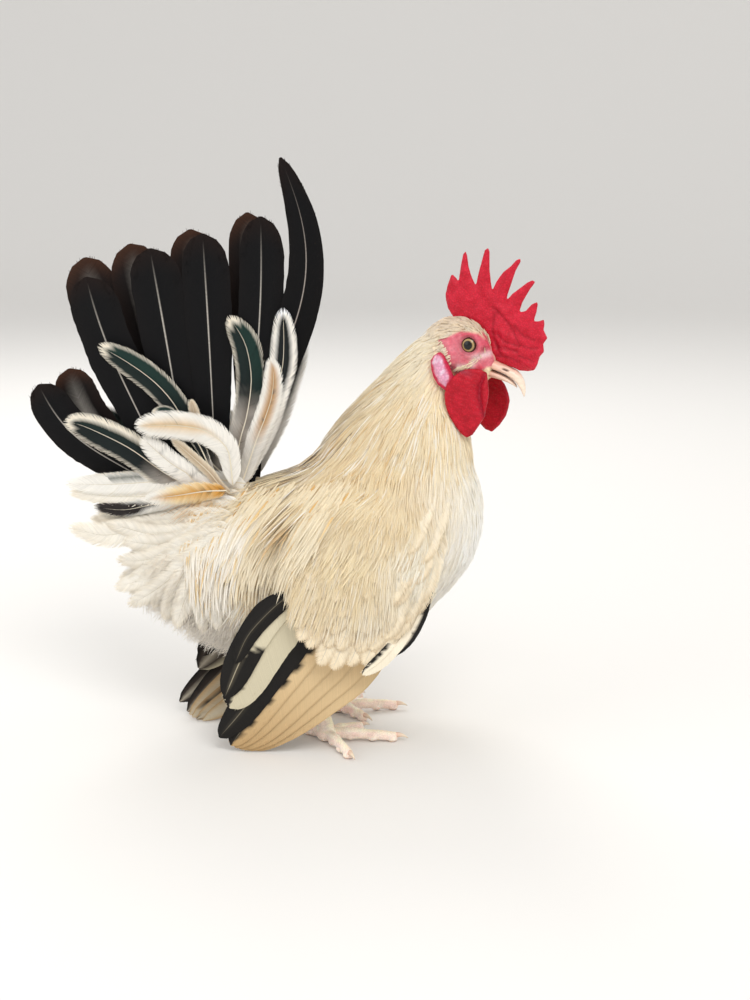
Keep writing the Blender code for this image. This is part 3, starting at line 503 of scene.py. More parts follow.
def tinted_material(name, colour, roughness, **inputs):
    """A material for a mesh's own tint, with shader inputs by name; also its tree, shader, tint and place."""
    made, tree, shader = new_material(name, colour, roughness)
    for key, value in inputs.items():
        shader.inputs[key.replace("_", " ")].default_value = value
    tint = node(tree, "ShaderNodeVertexColor", {"layer_name": "tint"})
    place = node(tree, "ShaderNodeTexCoord")
    return made, tree, shader, tint.outputs["Color"], place.outputs["Object"]


def noise_at(tree, place, scale, detail, **settings):
    """Cloudy noise over the model."""
    made = node(tree, "ShaderNodeTexNoise", {"Scale": scale, "Detail": detail, **settings}, Vector=place)
    return made.outputs["Fac"]


def span(tree, source, low, high, to_low, to_high):
    """Maps one range of values on to another."""
    ends = {"#1": low, "#2": high, "#3": to_low, "#4": to_high}
    return node(tree, "ShaderNodeMapRange", ends, Value=source).outputs[0]


def colour_by(tree, shader, tint, factor):
    """Colours a material by its tint times a factor."""
    shaded = node(tree, "ShaderNodeMix", {"data_type": "RGBA", "blend_type": "MULTIPLY", "#0": 1.0}, _6=tint, _7=factor)
    tree.links.new(shaded.outputs[2], shader.inputs["Base Color"])


def raise_by(tree, shader, height, strength, distance, **more):
    """Gives a material's surface the relief of a height, over any relief below it."""
    raised = node(tree, "ShaderNodeBump", {"Strength": strength, "Distance": distance}, Height=height, **more)
    tree.links.new(raised.outputs[0], shader.inputs["Normal"])
    return raised


skin_points = mesh_arrays(skin)[0]
local = to_head(skin_points)
flat = local[:, (0, 2)]
face = np.clip(edge_distance(flat, FACE_OUTLINE) / 1.2 + 0.5, 0, 1) * soft(abs(local[:, 1]), 2, 4)
around = np.hypot(flat[:, 0], flat[:, 1])
red = mix("D9848E", "C8485B", np.clip(0.5 + 0.45 * speckle(local, 2.2, 3) + 0.5 * line_bump(flat, BROW, 3.0), 0, 1))
for colour, line, width, strength in FACE_LINES:
    red = mix(red, colour, strength * line_bump(flat, line, width))
for colour, middle, width, strength in FACE_RINGS:
    red = mix(red, colour, strength * hump(around, middle, width))
# Under the plumage the skin is painted a little darker, as painted shade in the gaps between feathers.
under = spread_from(skin_points, colour_places, colour_values) * UNDER_SHADE
paint(skin, mix(under, red, face))
# Skin: a soft waxy hide with a faint sheen, finely pimpled, with light passing a little way into it.
hide, tree, shader, tint, place = tinted_material(
    "bird_skin", "D8848E", 0.52, Subsurface_Weight=0.12, Subsurface_Radius=(0.002, 0.0008, 0.0006))
colour_by(tree, shader, tint, span(tree, noise_at(tree, place, 900, 4), 0.3, 0.7, 0.82, 1.1))
pimple = node(tree, "ShaderNodeTexVoronoi", {"Scale": 1500, "feature": "SMOOTH_F1"}, Vector=place)
raise_by(tree, shader, pimple.outputs["Distance"], 0.35, 0.0003)
finish(skin, "face_skin", ("torso", "neck", "head", "thigh_right", "thigh_left"), hide)


# Comb: one upright blade of firm red flesh with a fan of ten points, thick and folded at the front over the beak.
# Its outline is filled and thickened, melted to an even skin, then swollen inwards from the rim and creased.
COMB_OUTLINE = (
    (-16.8, 7.5), (-21.0, 10.6), (-23.6, 14.2), (-24.8, 16.9), (-25.3, 22.1), (-25.2, 27.7), (-22.1, 26.6),
    (-19.9, 24.4), (-21.5, 31.7), (-22.8, 39.4), (-22.1, 41.0), (-20.6, 39.5), (-17.8, 34.5), (-14.3, 30.0),
    (-10.7, 26.7), (-11.4, 31.9), (-11.9, 37.8), (-12.5, 45.7), (-11.4, 47.2), (-10.1, 45.7), (-7.1, 37.3),
    (-4.4, 31.8), (-1.8, 27.2), (-1.5, 32.9), (0.2, 38.8), (2.8, 42.8), (4.4, 46.7), (5.9, 48.2), (6.7, 46.8),
    (5.9, 41.7), (6.0, 36.5), (6.2, 29.3), (6.8, 25.4), (8.7, 30.4), (11.7, 34.9), (14.2, 38.7), (16.3, 40.8),
    (18.0, 40.4), (16.7, 36.3), (16.0, 32.5), (15.2, 28.4), (15.4, 23.0), (18.6, 25.1), (20.4, 29.4), (22.5, 31.6),
    (23.4, 30.4), (24.0, 26.8), (24.2, 21.8), (26.6, 22.7), (28.9, 24.6), (30.1, 22.6), (30.6, 19.6), (33.9, 16.5),
    (33.0, 13.0), (34.8, 9.4), (33.5, 6.1), (34.0, 2.2), (33.4, -1.3), (30.5, -3.0), (26.2, -4.4), (22.2, -4.2),
    (18.9, -4.6), (15.5, -5.2), (11.0, -4.5), (8, -2), (5, 2), (2, 6), (-3, 8), (-8, 8.4), (-12.5, 8.0),
)
# Creases and the folds between them: a line, its width and its height.
COMB_CREASES = (
    (((2.1, 20.4), (8, 18.4), (12.3, 16.4), (17.5, 12.6), (22.4, 8.5)), 0.9, -0.9),
    (((4.0, 17.5), (6.2, 9.5), (10.8, 3.7), (15, 0.5)), 0.9, -0.8),
    (((9.8, 8.6), (14.5, 6.8), (22.4, 7.6)), 0.8, -0.9),
    (((12.0, 2.6), (17, 4.2), (22.7, 4.7)), 0.8, -0.8),
    (((13.5, -1.5), (19, 0.5), (25.5, 0.2)), 0.9, -0.8),
    (((16, 16.5), (22.5, 13.2), (28.6, 13.6)), 0.8, -0.45),
    (((24.5, 8.5), (28.5, 8.8), (31.5, 10.5)), 0.8, -0.45),
    (((24, 3.2), (28.5, 3.4), (32, 3.0)), 0.8, -0.45),
    (((9.6, 11.2), (15.5, 9.6), (21, 10.6)), 1.1, 0.9),
    (((12.2, 5.0), (18, 6.0), (23, 5.9)), 0.9, 0.8),
    (((10, 0.6), (15, 2.2), (20.5, 2.4)), 1.2, 0.9),
    (((4.6, 22), (10, 19.5), (17, 16.4), (23.5, 11)), 1.1, 0.7),
)
COMB_HALF = 2.0


def plain_points(made):
    """A mesh's points in millimetres where they stand, before the piece is moved to its place."""
    points = np.empty(len(made.data.vertices) * 3)
    made.data.vertices.foreach_get("co", points)
    return points.reshape(-1, 3) * 1000


def blade(name, outline, half, voxel):
    """A slab with the given outline in the plane of X and Z and the given half thickness, melted to an even skin.

    It comes with its points, their places in that plane and how far in from the outline they are.
    """
    made = mesh_object(name, [(x / 1000, 0, z / 1000) for x, z in outline], [tuple(range(len(outline)))])
    modify(made, "SOLIDIFY", thickness=half * 2 / 1000, offset=0)
    points = plain_points(melt(made, voxel, 3))
    flat = points[:, (0, 2)]
    return made, points, flat, edge_distance(flat, outline)


def flesh_material(name, colour, rough, grain):
    """Bare red flesh: velvety with tiny raised pimples, painted lighter on them as a painted glint and a duller red
    between them as painted shade, and lit a little from within.
    """
    made, tree, shader, tint, place = tinted_material(
        name, colour, rough, Specular_IOR_Level=0.22, Subsurface_Weight=0.1, Subsurface_Radius=(0.003, 0.0006, 0.0004))
    fine = node(tree, "ShaderNodeTexVoronoi", {"Scale": grain, "Randomness": 0.9}, Vector=place).outputs["Distance"]
    # The pimples are painted lighter as a painted glint, and the flesh between them darker as painted shade.
    colour_by(tree, shader, tint, span(tree, fine, 0.0, 0.55, 1.12, 0.8))
    lumps = raise_by(tree, shader, noise_at(tree, place, grain * 0.45, 5, Roughness=0.6), 0.5, 0.0006)
    raise_by(tree, shader, fine, 0.6, 0.00035, Normal=lumps.outputs[0]).invert = True
    return made


comb, points, flat, depth = blade("comb_blade", COMB_OUTLINE, COMB_HALF, 0.46)
x, y, z = points.T
low = soft(z, 14, 0) * soft(x, -14, 8)
half = 0.55 + (1.9 + 1.7 * low) * (1 - np.exp(-np.maximum(depth, 0) / 2.6))
for line, width, height in COMB_CREASES:
    half += 0.55 * height * line_bump(flat, line, width * 1.25)
either_side = np.c_[flat, np.sign(y) * 9]
half += (0.35 + 0.5 * low) * speckle(either_side, 2.6, 2) + 0.2 * speckle(either_side, 1.1, 7)
sway = 0.9 * np.sin(x / 6.5 + 1) * soft(z, 14, 34)
points[:, 1] = y / COMB_HALF * np.maximum(half, 0.35) + sway
set_points(comb, in_head(points))
tips = np.clip(1 - depth / 3.2, 0, 1)
shade = mix("B80F26", "D8243C", np.clip(0.45 + 0.5 * speckle(points, 3.4, 9) + 0.25 * tips, 0, 1))
# The creases are painted a darker red, as painted shade in them.
crease_shade = sum(line_bump(flat, line, width * 0.8) for line, width, height in COMB_CREASES if height < 0)
paint(comb, mix(shade, "8E0A1E", np.clip(0.55 * crease_shade, 0, 0.7)))
flesh = flesh_material("comb_flesh", "D7314D", 0.42, 1050)
finish(comb, "comb_flesh", ("comb",), flesh)


# Wattles: two hanging leaves of the same flesh, thinner, with a thicker rim and a fold of the front edge.
# Each is a melted leaf bent outwards below, its front edge turned over, with fine creases running across it.
WATTLE_OUTLINES = {
    RIGHT: (
        (2.5, -12.4), (0.4, -14.9), (-1.4, -17.6), (-2.9, -23.3), (-2.2, -27.5), (0.2, -32.6), (3.5, -36.9),
        (8.3, -41.0), (12.6, -43.9), (15.9, -44.8), (18.1, -42.4), (19.3, -37.4), (20.4, -32.2), (20.0, -28.6),
        (19.6, -23.4), (18.3, -18.6), (15.2, -13.0), (12.6, -10.2), (9.1, -9.8), (5.4, -11.0),
    ),
    LEFT: (
        (4.0, -13.5), (3.5, -20), (4.2, -28), (7.0, -36), (12.0, -42.0), (16.8, -43.6), (20.9, -43.2), (23.5, -38.3),
        (25.2, -32.0), (25.0, -27.4), (24.4, -23.4), (22.4, -20.2), (18.7, -16.4), (14.1, -14.4), (9.0, -12.0),
        (6.0, -11.5),
    ),
}
WATTLE_HALF = 1.2
for side in (RIGHT, LEFT):
    wattle, points, flat, depth = blade("wattle_leaf_" + SIDE_NAMES[side], WATTLE_OUTLINES[side], WATTLE_HALF, 0.5)
    x, y, z = points.T
    half = 0.75 + 0.55 * (1 - np.exp(-np.maximum(depth, 0) / 1.5)) + 0.3 * hump(depth, 1.3, 0.8)
    creases = np.sin(z * 2.3 + 1.2 * speckle(points, 6, 4) * 3 + 0.25 * x) * 0.1
    half = half + 0.16 * speckle(np.c_[flat, np.sign(y) * 9], 1.7, side) + creases
    drop = soft(z, -11, -45)
    front = past = np.zeros(len(points))
    if side == RIGHT:
        front = line_bump(flat, ((12.7, -10), (12.7, -17.5), (14, -21.6), (17.3, -26.9), (20.2, -31)), 1.1)
        past = np.clip((x - (12.7 + 0.5 * np.clip(-17 - z, 0, 14))) / 3, 0, 1)
    middle = 10.2 + 3.6 * drop + 1.2 * np.sin(math.pi * drop) - 0.22 * (x - 9) - 1.1 * front + 1.5 * past
    points[:, 1] = y / WATTLE_HALF * half + side * middle
    set_points(wattle, in_head(points))
    shade = mix("A80A1E", "C9172E", np.clip(0.5 + 0.6 * speckle(points, 4, 1), 0, 1))
    # The turned-over front edge is painted darker, as painted shade in its fold, and the top under the lower beak's
    # root a duller dark red, as painted shade under the beak.
    shade = mix(shade, "9A0C26", np.clip(0.8 * front, 0, 0.8))
    paint(wattle, mix(shade, "8E3A48", np.clip(0.6 - abs(z + 13.5) / 4, 0, 0.6) * soft(x, 9, 4)))
    finish(wattle, "comb_flesh", ("wattle_" + SIDE_NAMES[side],), flesh)


# Earlobes: an almond of smooth glossy flesh below each ear, red at the rim, its middle painted purplish white as a
# painted sheen.
# Each is a leaned ellipsoid, its face a little hollowed and wrinkled, coloured from the rim inwards.
LOBE_OUTLINE = (
    (-12.7, -8.7), (-14.9, -11.8), (-15.4, -15.0), (-13.6, -18.8), (-11.0, -22.4), (-7.7, -25.0), (-3.0, -26.3),
    (-0.7, -25.0), (-1.1, -21.4), (-0.9, -18.7), (-3.5, -16.0), (-6.1, -13.3), (-9.9, -9.6),
)
LOBE_HALF = 2.4
lobe_flesh = flesh_material("earlobe_skin", "E8A4B8", 0.26, 800)
for side in (RIGHT, LEFT):
    lobe, points, flat, depth = blade("earlobe_skin_" + SIDE_NAMES[side], LOBE_OUTLINE, LOBE_HALF, 0.5)
    x, y, z = points.T
    depth = np.maximum(depth, 0)
    half = 0.7 + 2.5 * np.sqrt(np.clip(depth / 4.6, 0, 1)) - 0.35 * hump(depth, 1.6, 0.5)
    half += 0.12 * speckle(points, 1.4, 3)
    points[:, 1] = y / LOBE_HALF * half + side * (13.9 - 0.1 * (x + 8))
    set_points(lobe, in_head(points))
    # The middle and its paler patches are painted purplish white, as a painted sheen on the red flesh.
    white = np.clip((depth - 1.1 + 0.7 * speckle(points, 2.2, 6) + 0.10 * (z + 17)) / 1.1, 0, 1)
    shade = mix("C8284A", "E2A0B9", white)
    paint(lobe, mix(shade, "EFD2E2", white * np.clip(speckle(points * (1, 1, 0.45), 1.6, 8) * 2.2, 0, 1)))
    finish(lobe, "face_skin", ("earlobe_" + SIDE_NAMES[side],), lobe_flesh)


# Beak: two halves of pale pinkish horn, the upper hooked over the lower, worn smooth, with a slit nostril each side.
# Each half is lofted along its length, melted fine, and tinted darker over the ridge; along the mouth it is painted
# darker as painted shade in the gap between the halves.
UPPER_BEAK = (
    (5, -9.8, -3.0, 6.0), (9, -9.5, -3.4, 5.7), (13, -9.1, -4.0, 5.1), (17, -8.8, -4.4, 4.6), (21, -8.9, -4.5, 4.1),
    (25, -9.8, -4.8, 3.5), (28, -11.2, -6.0, 2.9), (30.3, -12.9, -8.0, 2.2), (32, -14.6, -10.4, 1.5),
    (33.1, -15.9, -13.0, 0.9), (33.6, -16.5, -15.2, 0.35),
)
LOWER_BEAK = (
    (5, -14.9, -10.2, 5.1), (9, -14.4, -10.0, 4.8), (13, -13.7, -9.6, 4.3), (17, -13.0, -9.4, 3.8),
    (21, -12.6, -9.7, 3.1), (24.5, -12.6, -10.6, 2.3), (27.2, -13.0, -11.9, 1.4), (28.3, -13.4, -12.9, 0.6),
)
BEAK_SIDES = 28


def beak_rings(stations, under, over):
    """Upright rings whose lower and upper halves have their own squareness."""
    turns = 2 * np.pi * np.arange(BEAK_SIDES) / BEAK_SIDES
    c, s = np.cos(turns), np.sin(turns)
    power = np.where(s < 0, 2 / under, 2 / over)
    c, s = np.sign(c) * abs(c) ** power, np.sign(s) * abs(s) ** power
    return [np.c_[np.full(BEAK_SIDES, float(x)), half * c, (low + high) / 2 + (high - low) / 2 * s]
            for x, low, high, half in stations]


horn, tree, shader, tint, place = tinted_material("beak_horn", "E9C3B1", 0.32, Coat_Weight=0.15)
stretch = node(tree, "ShaderNodeMapping", {"Scale": (120, 700, 700)}, Vector=place)
layers = noise_at(tree, stretch.outputs[0], 1.0, 5, Roughness=0.6)
colour_by(tree, shader, tint, span(tree, layers, 0.3, 0.7, 0.86, 1.06))
raise_by(tree, shader, layers, 0.3, 0.0002)
for name, stations, under, over in (("beak_upper", UPPER_BEAK, 3.2, 1.9), ("beak_lower", LOWER_BEAK, 2.0, 3.0)):
    beak = melt(solid_object(name + "_horn", [loft_rings(beak_rings(stations, under, over))]), 0.34, 4)
    points, normals = mesh_arrays(beak)
    x, y, z = points.T
    nostril = np.exp(-(((x - 20.2 - 0.5 * (z + 6.2)) / 1.7) ** 4 + ((z + 6.1) / 0.55) ** 4)) * (abs(y) > 2)
    hood = np.exp(-(((x - 19) / 2.4) ** 2 + ((z + 5.2) / 0.6) ** 2))
    if name == "beak_upper":
        points = points + normals * (0.35 * hood - 1.0 * nostril)[:, None]
        x, y, z = points.T
    set_points(beak, in_head(points))
    shade = mix("E6B9A2", "F1DCC6", soft(x, 14, 30))
    if name == "beak_upper":
        edge = np.interp(x, [s[0] for s in stations], [s[1] for s in stations])
        shade = mix(shade, "A9714F", 0.35 * soft(abs(y), 2, 0.6) * soft(x, 30, 22))
        # Along the mouth the upper half is painted dark brown, as painted shade in the gap between the halves.
        shade = mix(shade, "8A5138", 0.75 * np.clip(1 - (z - edge) / 0.7, 0, 1) * (x < 30))
        # The nostril's slit is painted near black, as painted shade in its pit.
        shade = mix(shade, "4A2119", nostril)
    else:
        # The lower half's top edge is painted darker too, as painted shade in the gap.
        shade = mix(shade, "8A5138", 0.5 * soft(z, -10.3, -9.8))
    paint(beak, mix(shade, "DD6F78", soft(x, 10.5, 7.5)))
    finish(beak, "horn", (name,), horn)


# Eyes: domed and wet, a round black pupil in an olive-brown iris with a thin dark rim; glass eyes set into the lids.
# Each is a ball turned so that its pole looks out, coloured in rings by the distance from that pole.
EYE_RADIUS = 0.0048
EYE_RINGS = (
    (0, "060505"), (2.1, "060505"), (2.2, "2E2014"), (2.45, "8E7448"), (2.8, "B59C6A"), (3.15, "8B7147"),
    (3.35, "3A281B"), (3.7, "24150F"), (4.0, "5A2F2A"), (4.8, "7A3B38"),
)
ring_places, ring_colours = [r for r, _ in EYE_RINGS], np.array([linear(colour) for _, colour in EYE_RINGS])


def along_line(at, stops, line):
    """Places on a line of points, or any rows of three, whose points stand at the stops."""
    return np.stack([np.interp(at, stops, line[:, k]) for k in range(3)], axis=-1)


eye_glass, tree, shader, tint, place = tinted_material(
    "eye_glass", "8F7A52", 0.06, Coat_Weight=0.3, Specular_IOR_Level=0.25, Coat_Roughness=0.02)
colour_by(tree, shader, tint, span(tree, noise_at(tree, place, 2600, 4, Roughness=0.7), 0.3, 0.7, 0.72, 1.25))
for side in (RIGHT, LEFT):
    bpy.ops.object.select_all(action="DESELECT")
    bpy.ops.mesh.primitive_uv_sphere_add(
        segments=64, ring_count=64, radius=EYE_RADIUS, location=(0, 0, 0), rotation=(math.pi / 2, 0, 0))
    eye = bpy.context.object
    eye.name = eye.data.name = "eyeball_" + SIDE_NAMES[side]
    bpy.ops.object.transform_apply(location=False, rotation=True, scale=False)
    bpy.ops.object.shade_smooth()
    points = plain_points(eye)
    set_points(eye, in_head(points + (EYE_PLACE[0], side * EYE_PLACE[1], EYE_PLACE[2])))
    paint(eye, along_line(np.hypot(points[:, 0], points[:, 2]), ring_places, ring_colours))
    finish(eye, "eye", ("eye_" + SIDE_NAMES[side],), eye_glass)


# Legs: shank and four toes of scaly hide, short and pinkish cream, with rows of yellowish plates down the front.
# Lofted limbs with stepped plates on their front halves are melted together with the pads under the toes.
ANKLES = {RIGHT: (3.5, -21.4), LEFT: (-1.3, 24.7)}
TOE_NAMES = ("inner", "middle", "outer", "hind")
TOE_ENDS = {
    RIGHT: ((18.0, -2.0), (40.0, -14.0), (21.5, -45.0), (-9.0, -13.0)),
    LEFT: ((16.5, 13.0), (30.0, 36.0), (6.0, 49.0), (-14.0, 17.5)),
}
SHANK_RADII, TOE_RADII = (4.3, 3.9, 3.7, 3.9, 4.1), (3.2, 2.75, 2.9, 2.4, 2.5, 2.1)
TOE_PADS = ((0.34, 1.0), (0.66, 0.95), (0.94, 0.9))
STEPS_IN_PLATE, HORN_SIDES = 7, 16
UP = np.array((0, 0, 1.0))


def scaled_limb(line, radii, plates, front, rows=1, step=0.42, sides=30):
    """A limb along a line of points; plates step over one another on the half that faces front."""
    line = np.asarray(line, float)
    lengths = np.r_[0, np.cumsum(np.linalg.norm(np.diff(line, axis=0), axis=1))]
    count = plates * STEPS_IN_PLATE + 1
    rings = []
    for i in range(count):
        share = i / (count - 1)
        reach = share * lengths[-1]
        middle = along_line(reach, lengths, line)
        near = along_line(min(reach + 0.8, lengths[-1]), lengths, line) - along_line(max(reach - 0.8, 0), lengths, line)
        along = near / np.linalg.norm(near)
        ahead = np.asarray(front, float) - along * (np.asarray(front) @ along)
        ahead /= np.linalg.norm(ahead)
        beside = np.cross(along, ahead)
        radius = np.interp(share, np.linspace(0, 1, len(radii)), radii)
        ring = []
        for k in range(sides):
            a = 2 * math.pi * k / sides
            facing = max(0.0, math.cos(a)) ** 0.5
            phase = share * plates + (0.5 if rows == 2 and math.sin(a) > 0 else 0)
            plate = step * facing * (phase % 1.0) ** 0.7
            seam = 0.3 * math.exp(-(math.sin(a) / 0.12) ** 2) * facing if rows == 2 else 0
            out = radius + plate - seam
            ring.append(middle + out * (ahead * math.cos(a) * 1.05 + beside * math.sin(a) * 0.94))
        rings.append(ring)
    return loft_rings(rings)


def spike(root, way, count, place, narrow=1.0):
    """A tapering point of horn; place tells how far on, how high and how thick it is at a share of its length."""
    rings = []
    for share in np.linspace(0, 1, count):
        reach, rise, girth = place(share)
        centre, across = root + way * reach + (0, 0, rise), np.cross(way, UP) * girth * narrow
        rings.append(oval(centre, across, UP * girth, HORN_SIDES, 2.0))
    return loft_rings(rings)


def claw_place(share):
    """A claw arches up and comes down to the floor."""
    arch = 0.6 + 0.9 * math.sin(math.pi * share * 0.8) - 1.9 * share ** 2
    return -1.2 + 7.6 * share, arch, 1.65 * (1 - share) ** 0.75 + 0.12


def spur_place(share):
    """A spur is stouter and bends up a little."""
    return 2.2 + 9.4 * share, 1.2 * share ** 2, 2.3 * (1 - share) ** 0.7 + 0.15


shank_hide, tree, shader, tint, place = tinted_material(
    "shank_hide", "EBD0B4", 0.45, Subsurface_Weight=0.3, Subsurface_Radius=(0.004, 0.002, 0.0014))
scales = node(tree, "ShaderNodeTexVoronoi", {"Scale": 950, "feature": "DISTANCE_TO_EDGE"}, Vector=place)
gap = span(tree, scales.outputs["Distance"], 0.0, 0.16, 0.84, 1.04)
dirt = span(tree, noise_at(tree, place, 220, 5), 0.35, 0.65, 0.94, 1.06)
soiled = node(tree, "ShaderNodeMath", {"operation": "MULTIPLY"}, _0=gap, _1=dirt)
colour_by(tree, shader, tint, soiled.outputs[0])
raise_by(tree, shader, gap, 0.5, 0.0004)
for side in (RIGHT, LEFT):
    side_name = SIDE_NAMES[side]
    ankle_x, ankle_y = ANKLES[side]
    ankle, hock = np.array((ankle_x, ankle_y, 7.0)), np.array((HOCK[0], side * HOCK[1], HOCK[2]))
    bend = hock * 0.45 + ankle * 0.55 + np.array((0.6, 0, 0))
    shapes = [scaled_limb((hock, bend, ankle, ankle - (0, 0, 2.6)), SHANK_RADII, 11, (1, 0, 0.3), rows=2)]
    shapes.append(ball(ankle - (0.5, 0, 2.6), (5.4, 5.0, 4.3)))
    claws = []
    for x, y in TOE_ENDS[side]:
        start, end = np.array((ankle_x, ankle_y, 4.4)), np.array((x, y, 2.7))
        length = np.linalg.norm(end - start)
        along = (end - start) / length
        knuckles = start + along * length * 0.36 + (0, 0, 0.9), start + along * length * 0.72 + (0, 0, 0.5)
        plates = max(6, round(length / 2.3))
        shapes.append(scaled_limb((start, *knuckles, end), TOE_RADII, plates, (0, 0, 1), step=0.36, sides=24))
        for share, size in TOE_PADS:
            pad = start + along * length * share + (0, 0, -0.5 - share * 0.55)
            shapes.append(ball(pad, (3.3 * size, 2.75 * size, 2.1)))
        claws.append(spike(end, along * (1, 1, 0) / np.linalg.norm(along[:2]), 12, claw_place, 0.82))
    foot = melt(solid_object("foot_" + side_name, shapes), 0.4, 2, 0.35)
    points, normals = mesh_arrays(foot)
    z = points[:, 2]
    points[:, 2] = np.maximum(z, 0.02 + 0.12 * np.clip(z, -1, 1))
    set_points(foot, points)
    shank_front = np.clip(normals[:, 0] * 1.4 - 0.1, 0, 1) * soft(z, 6, 10)
    toe_top = np.clip(normals[:, 2] * 1.5 - 0.3, 0, 1) * soft(z, 9, 6)
    shade = mix("FDE9D9", "FDF1CF", np.clip(shank_front + 0.7 * toe_top + 0.2 * speckle(points, 3, 2), 0, 1))
    shade = mix(shade, "F7C9BD", np.clip(0.5 * speckle(points, 5, 11) + 0.25 * soft(z, 1, 4) * (z < 6), 0, 0.45))
    # Within 1.2 mm of the floor the feet are painted a darker brown, as painted shade where they meet the floor.
    paint(foot, mix(shade, "B98F78", np.clip((1.2 - z) / 1.2, 0, 0.6)))
    finish(foot, "shank_skin", ("shank_" + side_name,), shank_hide)

    # The claws and the spur are the same pale horn as the beak, pinker at the quick.
    back = np.array((-0.9, -side * 0.35, 0.12))
    claws.append(spike(hock * 0.38 + ankle * 0.62, back / np.linalg.norm(back), 10, spur_place))
    nails = solid_object("claws_" + side_name, claws)
    bpy.ops.object.shade_smooth()
    points = mesh_arrays(nails)[0]
    points[:, 2] = np.maximum(points[:, 2], 0.05)
    set_points(nails, points)
    along_horn = [np.repeat(np.linspace(0, 1, (len(p) - 2) // HORN_SIDES), HORN_SIDES) for p, _ in claws]
    reach = np.concatenate([np.r_[shares, 0, 1] for shares in along_horn])
    shade = mix("E0AE98", "E9D6BC", np.clip(reach * 1.5, 0, 1))
    paint(nails, mix(shade, "A98A70", np.clip((reach - 0.85) * 4, 0, 0.5)))
    finish(nails, "horn", [f"claw_{toe}_{side_name}" for toe in TOE_NAMES] + ["spur_" + side_name], horn)


# Plumage: thousands of small feathers rooted in the skin, each a closed sliver of keratin that follows the lie of the
# coat: narrow and pointed on the neck and saddle, broad and round on the breast and wings, loose as down behind.
# Their lie, length and width are drawn from guides, and their spines are marched over the skin.
dice = np.random.default_rng(11)
SKIN_TRIS = np.array([tuple(t.vertices) for t in skin.data.polygons])
SKIN_CORNERS = skin_points[SKIN_TRIS]
uv_flat = np.empty(len(skin.data.loops) * 2)
skin.data.uv_layers.active.data.foreach_get("uv", uv_flat)
SKIN_UV = uv_flat.reshape(-1, 3, 2)
skin_tree = BVHTree.FromPolygons([Vector(p) for p in skin_points], [tuple(int(i) for i in t) for t in SKIN_TRIS])

# Each guide: place, which way the feathers lie there, their length and width. All are mirrored to the other side.
LIE_GUIDES = (
    (45, 0, 214, -0.75, 0, -0.65, 18, 2.0), (22, 0, 193, -0.72, 0, -0.69, 32, 2.3),
    (0, 0, 168, -0.80, 0, -0.60, 40, 2.5), (56, 14, 203, -0.35, 0.25, -0.90, 16, 1.9),
    (42, 24, 185, -0.35, 0.30, -0.89, 32, 2.3), (35, 34, 160, -0.28, 0.25, -0.92, 38, 2.5),
    (12, 30, 165, -0.55, 0.30, -0.78, 40, 2.5), (74, 8, 188, 0.0, 0.05, -1, 14, 2.0),
    (74, 0, 178, 0.05, 0, -1, 16, 2.2), (66, 18, 170, 0.0, 0.20, -0.97, 26, 2.6), (80, 0, 158, 0.1, 0, -1, 20, 3.2),
    (82, 0, 145, 0, 0, -1, 20, 5.4), (84, 0, 125, -0.1, 0, -1, 20, 6.4), (74, 0, 95, -0.6, 0, -0.8, 20, 6.4),
    (70, 28, 140, -0.1, 0.1, -1, 22, 5.8), (62, 34, 110, -0.45, 0, -0.9, 22, 6.4), (45, 0, 58, -0.9, 0, -0.4, 20, 6.0),
    (15, 0, 38, -1, 0, 0, 22, 3.0), (10, 0, 160, -0.95, 0, -0.30, 38, 3.0), (-20, 0, 147, -0.97, 0, -0.15, 40, 3.0),
    (0, 30, 150, -0.70, 0.35, -0.60, 42, 2.8), (-30, 30, 130, -0.45, 0.30, -0.85, 46, 2.6),
    (-35, 38, 110, -0.20, 0.10, -1, 46, 2.4), (-60, 20, 125, -0.75, 0.30, -0.60, 46, 2.4),
    (-80, 15, 115, -0.90, 0.25, -0.35, 44, 2.4), (-62, 0, 140, -0.95, 0, 0.15, 34, 2.6),
    (-90, 0, 125, -1, 0, 0.1, 36, 2.6), (-85, 18, 90, -0.80, 0.25, -0.55, 36, 2.2),
    (-100, 0, 90, -0.95, 0, -0.3, 34, 2.4), (-20, 42, 90, -0.20, 0, -1, 34, 2.6),
    (-50, 30, 80, -0.45, 0.1, -0.9, 38, 2.2), (-35, 35, 60, -0.45, 0, -0.9, 28, 1.8),
    (-70, 0, 60, -0.8, 0, -0.55, 30, 1.8), (-40, 0, 42, -0.85, 0, -0.45, 26, 1.8),
    (10, 35, 60, -0.3, 0.1, -0.95, 16, 3.0), (-6, 24, 46, -0.2, 0, -1, 8, 1.8), (60, 50, 135, -0.20, 0, -1, 18, 6.0),
    (66, 46, 105, -0.35, 0, -0.93, 16, 5.4), (40, 56, 120, -0.30, 0, -0.95, 21, 7.4),
    (20, 58, 110, -0.50, 0, -0.87, 23, 8.2), (20, 56, 80, -0.58, 0, -0.82, 22, 8.0),
    (46, 56, 90, -0.50, 0, -0.86, 20, 7.2), (-5, 55, 110, -0.60, 0, -0.80, 26, 7.4),
    (25, 52, 142, -0.45, 0.1, -0.89, 24, 4.6),
)
